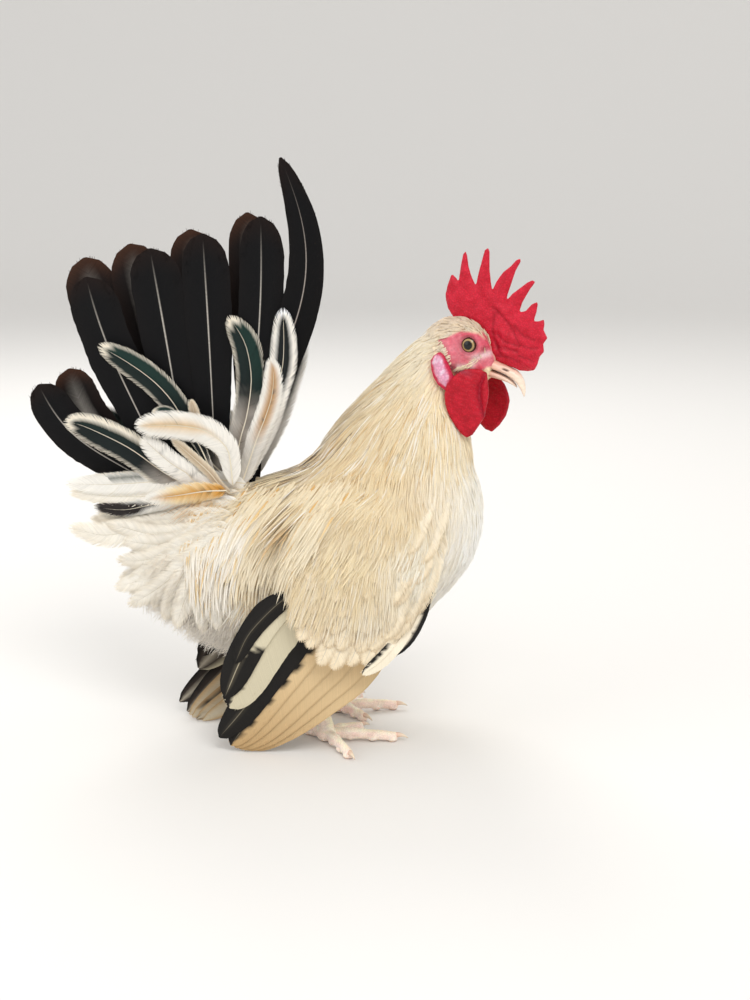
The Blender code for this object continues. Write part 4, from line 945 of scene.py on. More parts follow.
# The head's guides stand in the head's own frame: the brow, crown, nape, ear tuft and the bristles below the eye.
HEAD_LIE_GUIDES = (
    (11, 7, 2, -0.35, 0.1, 0.9, 3.2, 0.9), (7.6, 9, 7.3, -0.8, 0, 0.5, 3.6, 1.0), (-1.6, 10, 12, -1, 0, 0.05, 4.6, 1.1),
    (-12.7, 9, 11, -1, 0, -0.2, 6, 1.3), (-20, 9, 4, -0.9, 0.1, -0.5, 8, 1.6), (-18, 11, -6, -0.7, 0.1, -0.8, 8, 1.5),
    (-12.5, 13, -5, -0.6, 0.25, -0.75, 4, 0.8), (-6, 12, -9, -0.5, 0.1, -0.8, 2.6, 0.6),
    (5, 12, -7, -0.6, 0, -0.5, 2.0, 0.6), (0, 10, -16, -0.4, 0, -0.9, 6, 1.2), (-25, 0, 6, -0.95, 0, -0.35, 10, 1.8),
    (-10, 0, 12, -1, 0, 0, 5.5, 1.2), (4, 0, -18, -0.6, 0, -0.8, 5, 1.1),
)
lie_rows = []
for guides, place_of, turn in ((LIE_GUIDES, np.array, np.eye(3)), (HEAD_LIE_GUIDES, in_head, np.array(HEAD)[:3, :3])):
    for x, y, z, dx, dy, dz, length, width in guides:
        for flip in (1, -1):
            way = turn @ np.array((dx, dy * flip, dz), float)
            lie_rows.append((place_of((x, y * flip, z)), way / np.linalg.norm(way), (length, width)))
lie_places, lie_ways, lie_sizes = (np.array(rows, float) for rows in zip(*lie_rows))

# Rings of columns round a feather's spine: how far out to the side, from -1 to 1, and how high in millimetres.
RING_THREE = ((-1, 0), (0, 0.2), (1, 0))
RING_BARB = ((-1, 0), (0, 0.12), (1, 0))
RING_FIVE = ((-1, 0), (-0.5, 0.15), (0, 0.22), (0.5, 0.15), (1, 0))
FLOOR_CLEARANCE, SMALL_PATCH = 0.4, 0.003
# Strands of another colour among the plumage: colour, the share of strands that have it, where, and how far round.
ACCENTS = (
    ("6E543E", 0.30, (0, 4, 156), 18), ("9A7C5C", 0.10, (34, 38, 150), 16), ("E0B070", 0.20, (-40, 34, 108), 26),
    ("E7C189", 0.22, (0, 44, 125), 26), ("FBF5E8", 0.35, (-30, 36, 100), 30), ("FBF5E8", 0.18, (-5, 25, 150), 40),
    ("F8EFDC", 0.25, (60, 20, 190), 30), ("D9B37C", 0.12, (30, 20, 180), 34),
)


def unit(vectors):
    """Vectors of length one."""
    return vectors / np.maximum(np.linalg.norm(vectors, axis=-1, keepdims=True), 1e-9)


def on_skin(points):
    """The nearest place on the skin to each point, with its outward normal, its triangle and how far off it is."""
    found = [skin_tree.find_nearest(Vector(p)) for p in points]
    return [np.array([tuple(f[k]) if k < 2 else f[k] for f in found]) for k in range(4)]


def unwrap_at(points, triangles):
    """Where each point of the skin lies on the skin's unwrap."""
    a, b, c = (SKIN_CORNERS[triangles, k] for k in range(3))
    ab, ac, ap = b - a, c - a, points - a
    d00, d01, d11 = (ab * ab).sum(1), (ab * ac).sum(1), (ac * ac).sum(1)
    d20, d21 = (ap * ab).sum(1), (ap * ac).sum(1)
    base = np.maximum(d00 * d11 - d01 * d01, 1e-12)
    v, w = np.clip((d11 * d20 - d01 * d21) / base, 0, 1), np.clip((d00 * d21 - d01 * d20) / base, 0, 1)
    uv = SKIN_UV[triangles]
    return uv[:, 0] * (1 - v - w)[:, None] + uv[:, 1] * v[:, None] + uv[:, 2] * w[:, None]


def finder_of(points):
    """A tree that finds the nearest of some points."""
    finder = KDTree(len(points))
    for i, p in enumerate(points):
        finder.insert(p, i)
    finder.balance()
    return finder


def scatter(count, wanted, spacing):
    """Roots strewn evenly over the skin where wanted says so, no nearer to each other than spacing."""
    sides_a, sides_b = SKIN_CORNERS[:, 1] - SKIN_CORNERS[:, 0], SKIN_CORNERS[:, 2] - SKIN_CORNERS[:, 0]
    facing = np.cross(sides_a, sides_b)
    areas = np.linalg.norm(facing, axis=1)
    picks = dice.choice(len(areas), count, p=areas / areas.sum())
    s, t = dice.random(count), dice.random(count)
    over = s + t > 1
    s[over], t[over] = 1 - s[over], 1 - t[over]
    roots = SKIN_CORNERS[picks, 0] + sides_a[picks] * s[:, None] + sides_b[picks] * t[:, None]
    kept = wanted(roots)
    roots, picks = roots[kept], picks[kept]
    gaps, finder = spacing(roots), finder_of(roots)
    alive = np.ones(len(roots), bool)
    for i in range(len(roots)):
        if alive[i]:
            for _, j, _ in finder.find_range(roots[i], gaps[i]):
                if j > i:
                    alive[j] = False
    return roots[alive], unit(facing[picks[alive]]), picks[alive]


def march(roots, normals, lengths, steps, lift, stray, cling, fall):
    """Spines from roots along the lie of the coat: those within cling of the skin keep to it, others may fall."""
    places, ups = roots.copy(), normals.copy()
    sideways = dice.normal(0, stray, len(roots))
    heights = lift * dice.uniform(0.6, 1.3, len(roots))
    line, raised = [places - ups * 0.7], [ups.copy()]
    stride = lengths / (steps - 1)
    for k in range(1, steps):
        way = unit(spread_from(places, lie_places, lie_ways))
        way = way + np.cross(ups, way) * sideways[:, None]
        way = unit(way - ups * (way * ups).sum(1)[:, None])
        way = unit(way + np.array((0, 0, -fall * k / steps)))
        ahead = places + way * stride[:, None]
        hits, facings, _, gaps = on_skin(ahead)
        below = ((ahead - hits) * facings).sum(1) < 0
        held = ((gaps < cling) | below)[:, None]
        places = np.where(held, hits, ahead)
        ups = unit(np.where(held, ups * 0.5 + facings * 0.5, ups))
        share = k / (steps - 1)
        line.append(places + ups * (0.25 + heights * share ** 0.8)[:, None])
        raised.append(ups.copy())
    line, raised = np.stack(line, axis=1), np.stack(raised, axis=1)
    line[:, 1:-1] = 0.25 * line[:, :-2] + 0.5 * line[:, 1:-1] + 0.25 * line[:, 2:]
    return line, raised


def gather(line, leaders_every, pull):
    """Draws the ends of neighbouring feathers together into locks."""
    roots = line[:, 0]
    leaders = np.nonzero(dice.random(len(roots)) < 1 / leaders_every)[0]
    finder = finder_of(roots[leaders])
    own = leaders[[finder.find(p)[1] for p in roots]]
    share = np.linspace(0, 1, line.shape[1])[None, :, None] ** 1.4
    strength = pull * dice.uniform(0.5, 1.2, len(roots))[:, None, None]
    return line + (line[own] - line + (roots - roots[own])[:, None, :] * 0.35) * share * strength


def closed_slivers(name, points):
    """One mesh of many slivers with closed ends, from their points by sliver, step and column; also its corners."""
    count, steps, columns = points.shape[:3]
    start = (np.arange(count) * steps * columns)[:, None, None]
    s = (np.arange(steps - 1) * columns)[None, :, None]
    c, d = np.arange(columns)[None, None, :], ((np.arange(columns) + 1) % columns)[None, None, :]
    quads = np.stack([start + s + c, start + s + d, start + s + columns + d, start + s + columns + c], axis=-1)
    roots = start[:, 0] + np.arange(columns)[None, ::-1]
    tips = start[:, 0] + (steps - 1) * columns + np.arange(columns)[None, :]
    corners = np.concatenate([quads.ravel(), roots.ravel(), tips.ravel()]).astype(np.int32)
    totals = np.r_[np.full(quads.size // 4, 4), np.full(2 * count, columns)]
    mesh = bpy.data.meshes.new(name)
    mesh.vertices.add(count * steps * columns)
    mesh.vertices.foreach_set("co", row(points.reshape(-1, 3)).ravel())
    mesh.loops.add(len(corners))
    mesh.loops.foreach_set("vertex_index", corners)
    mesh.polygons.add(len(totals))
    mesh.polygons.foreach_set("loop_start", np.r_[0, np.cumsum(totals)[:-1]].astype(np.int32))
    mesh.update(calc_edges=True)
    mesh.validate()
    return mesh, corners


def barbs_mesh(name, line, ups, half, ring, tint, patch, patch_size, droop=0.15):
    """Skins spines with a ring of columns; patch and patch_size tell each one's place on the unwrap of its piece."""
    count, steps = line.shape[:2]
    columns = len(ring)
    along = unit(np.gradient(line, axis=1))
    across = unit(np.cross(along, ups))
    ups = np.cross(across, along)
    side, lift = (np.array(values)[None, None, :, None] for values in zip(*ring))
    half = np.broadcast_to(half, (count, steps))[:, :, None, None]
    slim = np.clip(half / half.max(axis=1, keepdims=True), 0.15, 1)
    rise = lift * slim - droop * half * side ** 2
    points = line[:, :, None, :] + across[:, :, None, :] * side * half + ups[:, :, None, :] * rise
    points[..., 2] = np.maximum(points[..., 2], FLOOR_CLEARANCE)
    mesh, corners = closed_slivers(name, points)
    made = add_object(name, mesh)
    lengths = np.cumsum(np.linalg.norm(np.diff(line, axis=1, prepend=line[:, :1]), axis=2), axis=1)
    barb = lengths[:, :, None] - abs(side[..., 0]) * half[..., 0] * 0.9 + dice.uniform(0, 60, count)[:, None, None]
    layer = mesh.attributes.new("barb", "FLOAT", "POINT")
    layer.data.foreach_set("value", np.broadcast_to(barb, (count, steps, columns)).astype(np.float32).ravel())
    paint(made, np.clip(np.broadcast_to(tint, (count, steps, columns, 3)).reshape(-1, 3), 0, 1))
    shares = np.linspace(-0.5, 0.5, steps)[None, :, None]
    patch_size = np.broadcast_to(patch_size, (count, 2))
    u = patch[:, 0, None, None] + side[..., 0] * 0.5 * patch_size[:, 0, None, None]
    v = patch[:, 1, None, None] + shares * patch_size[:, 1, None, None]
    flat_uv = np.stack(np.broadcast_arrays(u, v), axis=-1).reshape(-1, 2)
    mesh.uv_layers.new(name="OFBake").data.foreach_set("uv", flat_uv[corners].ravel())
    select_only(made)
    if columns > 3:
        bpy.ops.object.shade_smooth_by_angle(angle=math.radians(75))
    else:
        bpy.ops.object.shade_smooth()
        ends = np.empty(len(mesh.edges) * 2, np.int32)
        mesh.edges.foreach_get("vertices", ends)
        mesh.edges.foreach_set("use_edge_sharp", (ends.reshape(-1, 2) % 3 != 1).all(axis=1))
    return made


def plume_material(name, colour, roughness, barb_gap, contrast, sheen, gloss, glow=0.0):
    """Feather vane: fine slanting barbs, raised and with their streaks of light and shade painted into the colour, matt
    with a faint bloom.
    """
    made, tree, shader, tint, place = tinted_material(
        name, colour, roughness, Sheen_Weight=sheen, Sheen_Roughness=0.45, Specular_IOR_Level=gloss,
        Subsurface_Weight=glow, Subsurface_Radius=(1.0, 0.85, 0.65), Subsurface_Scale=0.002)
    barb = node(tree, "ShaderNodeAttribute", {"attribute_name": "barb"}).outputs["Fac"]
    turns = node(tree, "ShaderNodeMath", {"operation": "MULTIPLY", "#1": 2 * math.pi / barb_gap}, _0=barb)
    wander = noise_at(tree, place, 500, 3)
    pushed = node(tree, "ShaderNodeMath", {"operation": "MULTIPLY_ADD", "#1": 9.0}, _0=wander, _2=turns.outputs[0])
    wave = node(tree, "ShaderNodeMath", {"operation": "SINE"}, _0=pushed.outputs[0]).outputs[0]
    along_barbs = {"noise_dimensions": "1D", "Scale": 0.9, "Detail": 4, "Roughness": 0.7}
    clumps = node(tree, "ShaderNodeTexNoise", along_barbs, W=barb).outputs["Fac"]
    # The barbs' streaks of light and shade are painted into the colour, with clumps of another tone along them.
    streaks = node(tree, "ShaderNodeMath", {"operation": "MULTIPLY"},
                   _0=span(tree, wave, -1, 1, 1 - contrast, 1 + contrast * 0.4),
                   _1=span(tree, clumps, 0.3, 0.7, 1 - contrast, 1 + contrast * 0.6))
    colour_by(tree, shader, tint, streaks.outputs[0])
    raise_by(tree, shader, wave, 0.35, 0.00012)
    return made


def bare(points):
    """Where no feather is rooted: the face, the beak's root, under comb and lobes, and the lower legs."""
    own = to_head(points)
    flat, (ahead, _, up), off_middle = own[:, (0, 2)], own.T, abs(own[:, 1])
    in_face = (edge_distance(flat, FACE_OUTLINE) > -0.2) & (off_middle > 3)
    ear_tuft = line_bump(flat, ((-14.5, -4.6), (-8, -8.6), (-6.3, -11)), 1.6) > 0.4
    bristles = line_bump(flat, ((-1, -12.5), (4.6, -9.6), (5.0, -6), (9.4, -1.6)), 0.9) > 0.5
    lobes = (edge_distance(flat, LOBE_OUTLINE) > 0.3) & (off_middle > 8)
    nose = (ahead > 8.5) & (up < 3.5) | (ahead > 12.5)
    throat = (ahead > 6) & (up < -13) & (up > -22)
    below_comb = (off_middle < 1.6) & (up > 4) & (ahead > -18)
    near_head = np.linalg.norm(own, axis=1) < 45
    x, y, z = points.T
    lower_legs = (z < 42) & (abs(y) > 14) & (x < 12) & (x > -22)
    return near_head & (in_face & ~ear_tuft & ~bristles | lobes | nose | throat | below_comb) | lower_legs


def pointed(share):
    """How wide a narrow feather is along its length."""
    return np.clip(share * 5 + 0.35, 0, 1) * np.sqrt(np.clip(1 - share ** 2.2, 0.004, 1))


def rounded(share):
    """How wide a broad feather is along its length."""
    return np.clip(share * 2.5 + 0.4, 0, 1) * np.sqrt(np.clip(1 - soft(share, 0.55, 1) ** 2.4, 0.01, 1))


def dress(name, wanted, widths, crowd, count, steps, lift, stray, locks=None, ring=RING_THREE, taper=pointed,
          uneven=0.05, reach=1.0, slim=1.0, cling=2.6, fall=0.0, accented=False, root_shade=0.9, rough_edge=0.0,
          bleach=0.0):
    """One patch of plumage: roots where wanted, feathers of the guides' width between two bounds."""
    def width_at(points):
        return spread_from(points, lie_places, lie_sizes)[:, 1]

    def chosen(points):
        width = width_at(points)
        return wanted(points) & ~bare(points) & (width >= widths[0]) & (width < widths[1])

    roots, normals, picks = scatter(count, chosen, lambda points: width_at(points) * crowd)
    sizes = spread_from(roots, lie_places, lie_sizes) * (reach, slim)
    lengths = sizes[:, 0] * dice.uniform(0.8, 1.15, len(roots))
    line, ups = march(roots, normals, lengths, steps, lift, stray, cling, fall)
    if locks:
        line = gather(line, *locks)
    share = np.linspace(0, 1, steps)
    half = sizes[:, 1, None] / 2 * taper(share)[None, :] * dice.uniform(0.85, 1.15, (len(roots), 1))
    half = np.maximum(half * (1 + rough_edge * dice.normal(0, 1, (len(roots), steps))), 0.05)
    base = spread_from(roots, colour_places, colour_values)
    warm = dice.normal(0, uneven * 0.6, (len(roots), 1)) * np.array((0.3, 0.0, -1.0))
    tint = base * (1 + uneven * dice.normal(0, 1, (len(roots), 1)) + warm)
    mirrored = np.c_[roots[:, 0], abs(roots[:, 1]), roots[:, 2]]
    for colour, chance, place, radius in ACCENTS if accented else ():
        near = np.linalg.norm(mirrored - place, axis=1)
        taken = dice.random(len(roots)) < chance * np.exp(-(near / radius) ** 2)
        tint[taken] = tint[taken] * 0.25 + linear(colour) * 0.75
    tint = tint * (1 - bleach) + linear("F7F0E2") * bleach
    # Each feather is painted darker towards its root, as painted shade under the feathers over it, and a little lighter
    # at its tip and edges, as painted light through the thin vane.
    sides = np.array([abs(r[0]) for r in ring])
    painted_shade_and_light = root_shade + (1.02 - root_shade) * share[:, None] ** 0.7 + 0.02 * sides[None, :]
    colours = tint[:, None, None, :] * painted_shade_and_light[None, :, :, None]
    made = barbs_mesh(name, line, ups, half, ring, colours, unwrap_at(roots, picks), SMALL_PATCH)
    finish(made, "buff_feather", (), buff_plumage)
    print(name, len(roots), "feathers")


def under_coverts(points):
    """Where the wing's own coverts lie over the skin."""
    x, y, z = points.T
    return (abs(y) > 38) & (z < 106) & (x > -18) & (x < 54)


def on_neck(points):
    """The neck and head."""
    return (points[:, 0] > 22) | (points[:, 2] > 168)


def on_side(points, side):
    """One half of the bird."""
    return (points[:, 1] < 0) == (side == RIGHT)


def on_back(points, side):
    """One half of the body's front, back and side, as far as the saddle."""
    return ~on_neck(points) & on_side(points, side) & (points[:, 0] > -34) & ~under_coverts(points)


def on_shoulder(points):
    """Both shoulders, over the arms of the wings."""
    x, y, z = points.T
    return (abs(y) > 26) & (z > 96) & (x > -6) & (x < 62)


def under_coat(points, side):
    """One half of the skin except under the saddle's strands and the wing's coverts."""
    x, _, z = points.T
    under_saddle = (x < -6) & (z > 72) & (z < 132)
    return on_side(points, side) & (x > -62) & ~under_saddle & ~under_coverts(points)


def on_breast(points, side):
    """One half of the breast, flank and belly, except under the wing's coverts."""
    x, y, z = points.T
    belly = (z < 66) & (abs(y) < 34)
    seen = on_side(points, side) & ~under_coverts(points) & ((x > 8) | belly)
    return seen & (x > -60) & ((abs(y) < 24) | (z > 80))


buff_plumage = plume_material("buff_plumage", "EAD6B0", 0.85, 0.55, 0.05, 0.2, 0.2, glow=0.25)
FINE, NARROW, BROAD, STOUT, ANY = (0, 1.75), (1.75, 4.7), (3.9, 99), (3.6, 99), (0, 99)
dress("face_feathers", on_neck, FINE, 0.52, 90000, 6, 0.6, 0.10, locks=(9, 0.3), slim=0.9, root_shade=0.94)
for side in (RIGHT, LEFT):
    dress("underplumage_" + SIDE_NAMES[side], lambda points: under_coat(points, side), NARROW, 0.70, 50000, 4, 0.45,
          0.05, taper=rounded, uneven=0.02, reach=0.6, slim=1.25, root_shade=0.97)
HACKLE = {"locks": (12, 0.4), "uneven": 0.04, "slim": 0.42, "accented": True, "root_shade": 0.94}
dress("hackle", on_neck, NARROW, 0.50, 110000, 6, 1.1, 0.09, cling=7.0, **HACKLE)
for side in (RIGHT, LEFT):
    dress("body_hackle_" + SIDE_NAMES[side], lambda points: on_back(points, side), NARROW, 0.50, 110000, 5, 1.1, 0.09,
          **HACKLE)
dress("shoulder_hackle", on_shoulder, STOUT, 0.26, 60000, 6, 1.6, 0.09, locks=(12, 0.4), uneven=0.03, slim=0.19,
      root_shade=0.98, bleach=0.08, cling=6.0)
for side in (RIGHT, LEFT):
    dress("breast_" + SIDE_NAMES[side], lambda points: on_breast(points, side), BROAD, 0.42, 30000, 7, 0.6, 0.06,
          ring=RING_FIVE, taper=rounded, uneven=0.02, slim=0.95, rough_edge=0.03, root_shade=0.98)
    dress("breast_wisps_" + SIDE_NAMES[side], lambda points: on_breast(points, side), BROAD, 0.29, 40000, 5, 1.3, 0.10,
          uneven=0.03, reach=0.7, slim=0.10, root_shade=0.98, bleach=0.1)


# Tail: two fans of stiff near-black feathers with thin pale shafts, brown and frayed at their tips, and two curved
# sickles in front. Each has a raised shaft, a slight cup and twist, nicks in its edges and loose barbs at its tip.
TAIL_ROOT, TAIL_SPLAY = (-64, 0, 128), 0.00038
TAIL_FIRST, TAIL_STEP = 1.4, 1.15
# Each feather of a fan, from the rearmost: root x, z, tip x, z, half width and bow. The last one is the sickle.
FANS = {
    RIGHT: (
        (-86, 124, -160, 186, 12.5, -9), (-85, 129, -129, 244.5, 14.4, -4), (-76, 133, -92.5, 260, 14.4, 0),
        (-61, 134, -63, 268, 13.2, 0), (-44, 134, -31, 277, 12, 2), (-50, 136, -19, 306.3, 10, 21.5),
    ),
    LEFT: (
        (-86, 124, -147, 193.5, 12.5, -9), (-85, 129, -137.5, 253.5, 14.4, -4), (-76, 133, -112, 261, 14.4, 0),
        (-61, 134, -78, 269, 13.2, 0), (-44, 134, -47, 278, 12, 2), (-50, 136, -26, 301, 10, 19.5),
    ),
}
BLADE_STEPS, FRINGE_STEPS = 44, 4
RING_BLADE = (
    (-1, 0), (-0.86, 0.05), (-0.6, 0.12), (-0.3, 0.18), (-0.045, 0.22), (0, 0.55), (0.045, 0.22), (0.3, 0.18),
    (0.6, 0.12), (0.86, 0.05), (1, 0), (0.5, -0.16), (0, -0.32), (-0.5, -0.16),
)
BLADE_U = np.array([r[0] for r in RING_BLADE])
BLADE_S = np.linspace(0, 1, BLADE_STEPS)
BLADE_UNDER = np.array([r[1] < 0 for r in RING_BLADE])
DOWN = np.array((0, 0, -1.0))


def flat_spine(root, tip, bow):
    """A feather's spine seen flat from the side, bowed forward."""
    start, end = np.array((root[0], 0, root[1]), float), np.array((tip[0], 0, tip[1]), float)
    chord = end - start
    forward = np.array((chord[2], 0, -chord[0])) / np.linalg.norm(chord)
    return start + BLADE_S[:, None] * chord + forward * (bow * np.sin(np.pi * BLADE_S ** 1.6))[:, None]


def bent_spine(stops):
    """A smooth spine seen flat from the side, through a few places (x, z)."""
    stops = np.array([(x, 0, z) for x, z in stops], float)
    padded = np.vstack([2 * stops[0] - stops[1], stops, 2 * stops[-1] - stops[-2]])
    share = np.linspace(0, 1, 24, endpoint=False)[:, None]
    dense = []
    for i in range(1, len(padded) - 2):
        before, here, after, beyond = padded[i - 1:i + 3]
        square, cube = 2 * before - 5 * here + 4 * after - beyond, 3 * here - before - 3 * after + beyond
        dense.append(0.5 * (2 * here + (after - before) * share + square * share ** 2 + cube * share ** 3))
    dense = np.vstack(dense + [stops[-1:]])
    reach = np.r_[0, np.cumsum(np.linalg.norm(np.diff(dense, axis=0), axis=1))]
    return along_line(BLADE_S * reach[-1], reach, dense)


def splayed(line, side, level):
    """Lays a flat spine of the tail at its level on one side; the fans stand further out the further from the root."""
    line[:, 1] = side * (level + TAIL_SPLAY * ((line - TAIL_ROOT) ** 2).sum(1))
    return line


def facing_out(line, side, twist, tilt=0.0):
    """Which way a flat feather's outer face looks along its length, tilted all along and twisted towards its tip."""
    along = unit(np.gradient(line, axis=0))
    out = unit(np.tile((0.0, side, 0.0), (len(line), 1)) - along * (along[:, 1] * side)[:, None])
    return unit(out + np.cross(along, out) * (tilt + twist * np.linspace(0, 1, len(line)))[:, None])


def blade_width(half, round_from=0.84, root=0.35, full_at=0.62, rough=0.012):
    """Half widths along a big feather: slim at the quill, full past the middle, rounded at the tip, with nicks."""
    width = root + (1 - root) * np.clip(BLADE_S / full_at, 0, 1) ** 0.8
    tip = np.sqrt(np.clip(1 - np.clip((BLADE_S - round_from) / (1 - round_from), 0, 1) ** 2.2, 0.004, 1))
    nicks = 1 + rough * dice.normal(0, 1, BLADE_STEPS) * (BLADE_S < 0.97)
    return half * width * tip * nicks


def black_blade(far):
    """Colours of a tail feather: near-black with a grey-white shaft, browner and thinner towards tip and edge."""
    u, s = abs(BLADE_U)[None, :], BLADE_S[:, None]
    body = mix("09090B", "20140F", np.clip((0.15 + 0.85 * far) * u ** 2.5 * soft(s, 0.3, 0.8) + far * 0.35, 0, 1))
    body = mix(body, "4A2C1B", np.clip(soft(s + 0.03 * u ** 2, 0.90, 1.0) * (0.12 + 0.7 * far), 0, 1))
    return mix(body, "CFC8BD", soft(-u, -0.04, 0.0) * (1 - soft(s, 0.70, 0.97)) * (0.9 - 0.4 * far))


def between(values, at):
    """Values along a feather, read between its steps."""
    low = np.minimum(at.astype(int), BLADE_STEPS - 2)
    part = (at - low).reshape(at.shape + (1,) * (values.ndim - 1))
    return values[low] + (values[low + 1] - values[low]) * part


def fringe(rows, from_share, count, length, width):
    """Loose barbs along the edges and tips of big feathers, each a thin pointed sliver leaning towards the tip."""
    roots, tops, aims, shades, reaches = [], [], [], [], []
    for line, up, half, tint in rows:
        along = unit(np.gradient(line, axis=0))
        across = unit(np.cross(along, up))
        at = (from_share + (0.995 - from_share) * dice.random(count) ** 0.55) * (BLADE_STEPS - 1)
        low = np.minimum(at.astype(int), BLADE_STEPS - 2)
        edge = dice.choice((-1.0, 1.0), count)
        out = edge * between(half, at) * dice.uniform(0.62, 0.97, count)
        roots.append(between(line, at) + across[low] * out[:, None])
        tip_turn = soft(at / (BLADE_STEPS - 1), 0.86, 1)
        sideways = edge * (0.6 - 0.45 * tip_turn) * dice.uniform(0.5, 1.2, count)
        aims.append(unit(along[low] * (1.2 + 0.6 * tip_turn)[:, None] + across[low] * sideways[:, None]
                         + up[low] * dice.normal(0, 0.06, count)[:, None]))
        tops.append(up[low])
        shades.append(np.asarray(tint)[low, 1])
        reaches.append(length * dice.uniform(0.45, 1.15, count))
    roots, tops, aims, shades, reaches = (np.concatenate(values) for values in (roots, tops, aims, shades, reaches))
    share = np.linspace(0, 1, FRINGE_STEPS)
    line = roots[:, None, :] + aims[:, None, :] * (reaches[:, None] * share)[:, :, None]
    line = line + DOWN * (reaches[:, None] * 0.10 * share ** 2)[:, :, None]
    up = np.repeat(tops[:, None, :], FRINGE_STEPS, axis=1)
    half = width / 2 * np.sqrt(1 - 0.96 * share)[None, :] * np.ones((len(roots), 1))
    return line, up, half, shades[:, None, None, :] * dice.uniform(0.8, 1.25, (len(roots), 1, 1, 1))


def strips(count, across=10):
    """Places of separate patches, one for each big feather, on a square, and their size."""
    ids, down = np.arange(count), math.ceil(count / across)
    return np.c_[(ids % across + 0.5) / across, (ids // across + 0.5) / down], (0.8 / across, 0.9 / down)


def lay_blades(name, rows, slot_name, replaced, material, loose, from_share):
    """Joins big feathers, given as spine, facing, half widths and colours, with their loose barbs, as two pieces."""
    lines, ups, halves, tints = (np.stack([r[k] for r in rows]) for k in range(4))
    patch, size = strips(len(rows))
    made = barbs_mesh(name, lines, ups, halves, RING_BLADE, tints, patch, size, droop=0.06)
    finish(made, slot_name, replaced, material)
    line, up, half, tint = fringe(rows, from_share, *loose)
    owner = np.repeat(np.arange(len(rows)), loose[0])
    patch = patch[owner] + dice.uniform(-0.03, 0.03, (len(owner), 2))
    finish(barbs_mesh(name + "_barbs", line, up, half, RING_BARB, tint, patch, SMALL_PATCH), slot_name, (), material)


tail_vane = plume_material("tail_vane", "1B1A1C", 0.55, 0.75, 0.25, 0.0, 0.12)
tail_rows = []
for side, fan in FANS.items():
    for place, (root_x, root_z, tip_x, tip_z, half, bow) in enumerate(fan):
        line = splayed(flat_spine((root_x, root_z), (tip_x, tip_z), bow), side, TAIL_FIRST + TAIL_STEP * place)
        if place < len(fan) - 1:
            up, width = facing_out(line, side, dice.uniform(-0.16, 0.16)), blade_width(half)
            tint = black_blade(0.8 if side == LEFT else 0.0)
        else:
            up, width = facing_out(line, side, 0.25), blade_width(half, round_from=0.45, full_at=0.3, rough=0.008)
            tint = black_blade(0.0) * (0.8, 0.75, 0.75)
        tail_rows.append((line, up, width, tint))
lay_blades("tail_feathers", tail_rows, "tail_feather", ("tail",), tail_vane, (60, 1.8, 0.24), 0.80)


# Tail coverts and cushion: soft feathers with loose webs, black (some with a painted green sheen), golden or white,
# over the tail's base and rump. Each grows barb by barb from its shaft: the shaft is a bent line, the web's outline
# gives where each barb ends.
# Each feather: places (x, z) along its shaft, half width and style.
TAIL_COVERTS = (
    (((-50, 136), (-66, 151), (-79, 173), (-85, 182), (-94, 191), (-107, 200), (-123, 209)), 8.0, "green"),
    (((-50, 138), (-46, 159), (-42, 172), (-39, 188), (-39, 200), (-42, 213), (-50, 226)), 8.4, "smoky"),
    (((-46, 136), (-40, 149), (-32, 167), (-24, 191), (-21, 201), (-20, 214), (-20, 231)), 7.8, "barred"),
    (((-45, 136), (-36, 161), (-31, 173), (-27, 185), (-26, 197), (-28, 205)), 6.2, "gold"),
    (((-55, 130), (-66, 131), (-87, 141), (-105, 153), (-119, 160), (-134, 166), (-143, 167)), 9.2, "rimmed"),
    (((-66, 153), (-68, 167), (-71, 182)), 3.4, "tan"),
    (((-60, 142), (-68, 159), (-79, 171), (-85, 175), (-93, 174)), 3.6, "green"),
    (((-55, 132), (-70, 138), (-74, 142), (-84, 148), (-99, 161)), 6.8, "smudged"),
    (((-50, 132), (-56, 137), (-61, 143), (-70, 151), (-82, 161)), 3.4, "tan"),
    (((-48, 137), (-49, 149), (-51, 157), (-59, 164), (-68, 167), (-82, 168), (-102, 167)), 8.2, "buff"),
)
CUSHION_PLUMES = (
    (((-42, 137), (-63, 139), (-80, 138), (-102, 135), (-125, 133), (-145, 133)), 6.6, "dashed"),
    (((-42, 134), (-65, 134), (-90, 129), (-113, 127), (-143, 128)), 5.6, "white"),
    (((-44, 129), (-68, 128), (-93, 124), (-111, 120), (-129, 121)), 5.0, "black_end"),
    (((-44, 122), (-66, 119), (-86, 113), (-104, 109), (-124, 105), (-144, 109)), 8.0, "white"),
    (((-46, 118), (-70, 112), (-95, 108), (-122, 112)), 6.0, "white"),
    (((-46, 115), (-65, 109), (-80, 101), (-99, 94), (-116, 92)), 6.4, "white"),
    (((-47, 122), (-59, 117), (-69, 109), (-86, 94), (-108, 80)), 6.0, "streaked"),
    (((-49, 118), (-64, 108), (-80, 96), (-98, 84), (-118, 76)), 6.4, "white"),
    (((-49, 114), (-65, 102), (-78, 89), (-92, 78), (-109, 67)), 6.4, "white"),
    (((-49, 117), (-61, 108), (-71, 93), (-81, 76), (-87, 61)), 5.6, "white"),
    (((-48, 112), (-58, 98), (-70, 80), (-80, 58)), 6.4, "white"),
    (((-50, 135), (-62, 134), (-78, 131), (-96, 128)), 6.2, "golden"),
    (((-46, 122), (-58, 111), (-62, 97), (-63, 78), (-63, 56)), 5.0, "white"),
    (((-43, 112), (-49, 96), (-52, 78), (-54, 60)), 5.0, "white"),
)
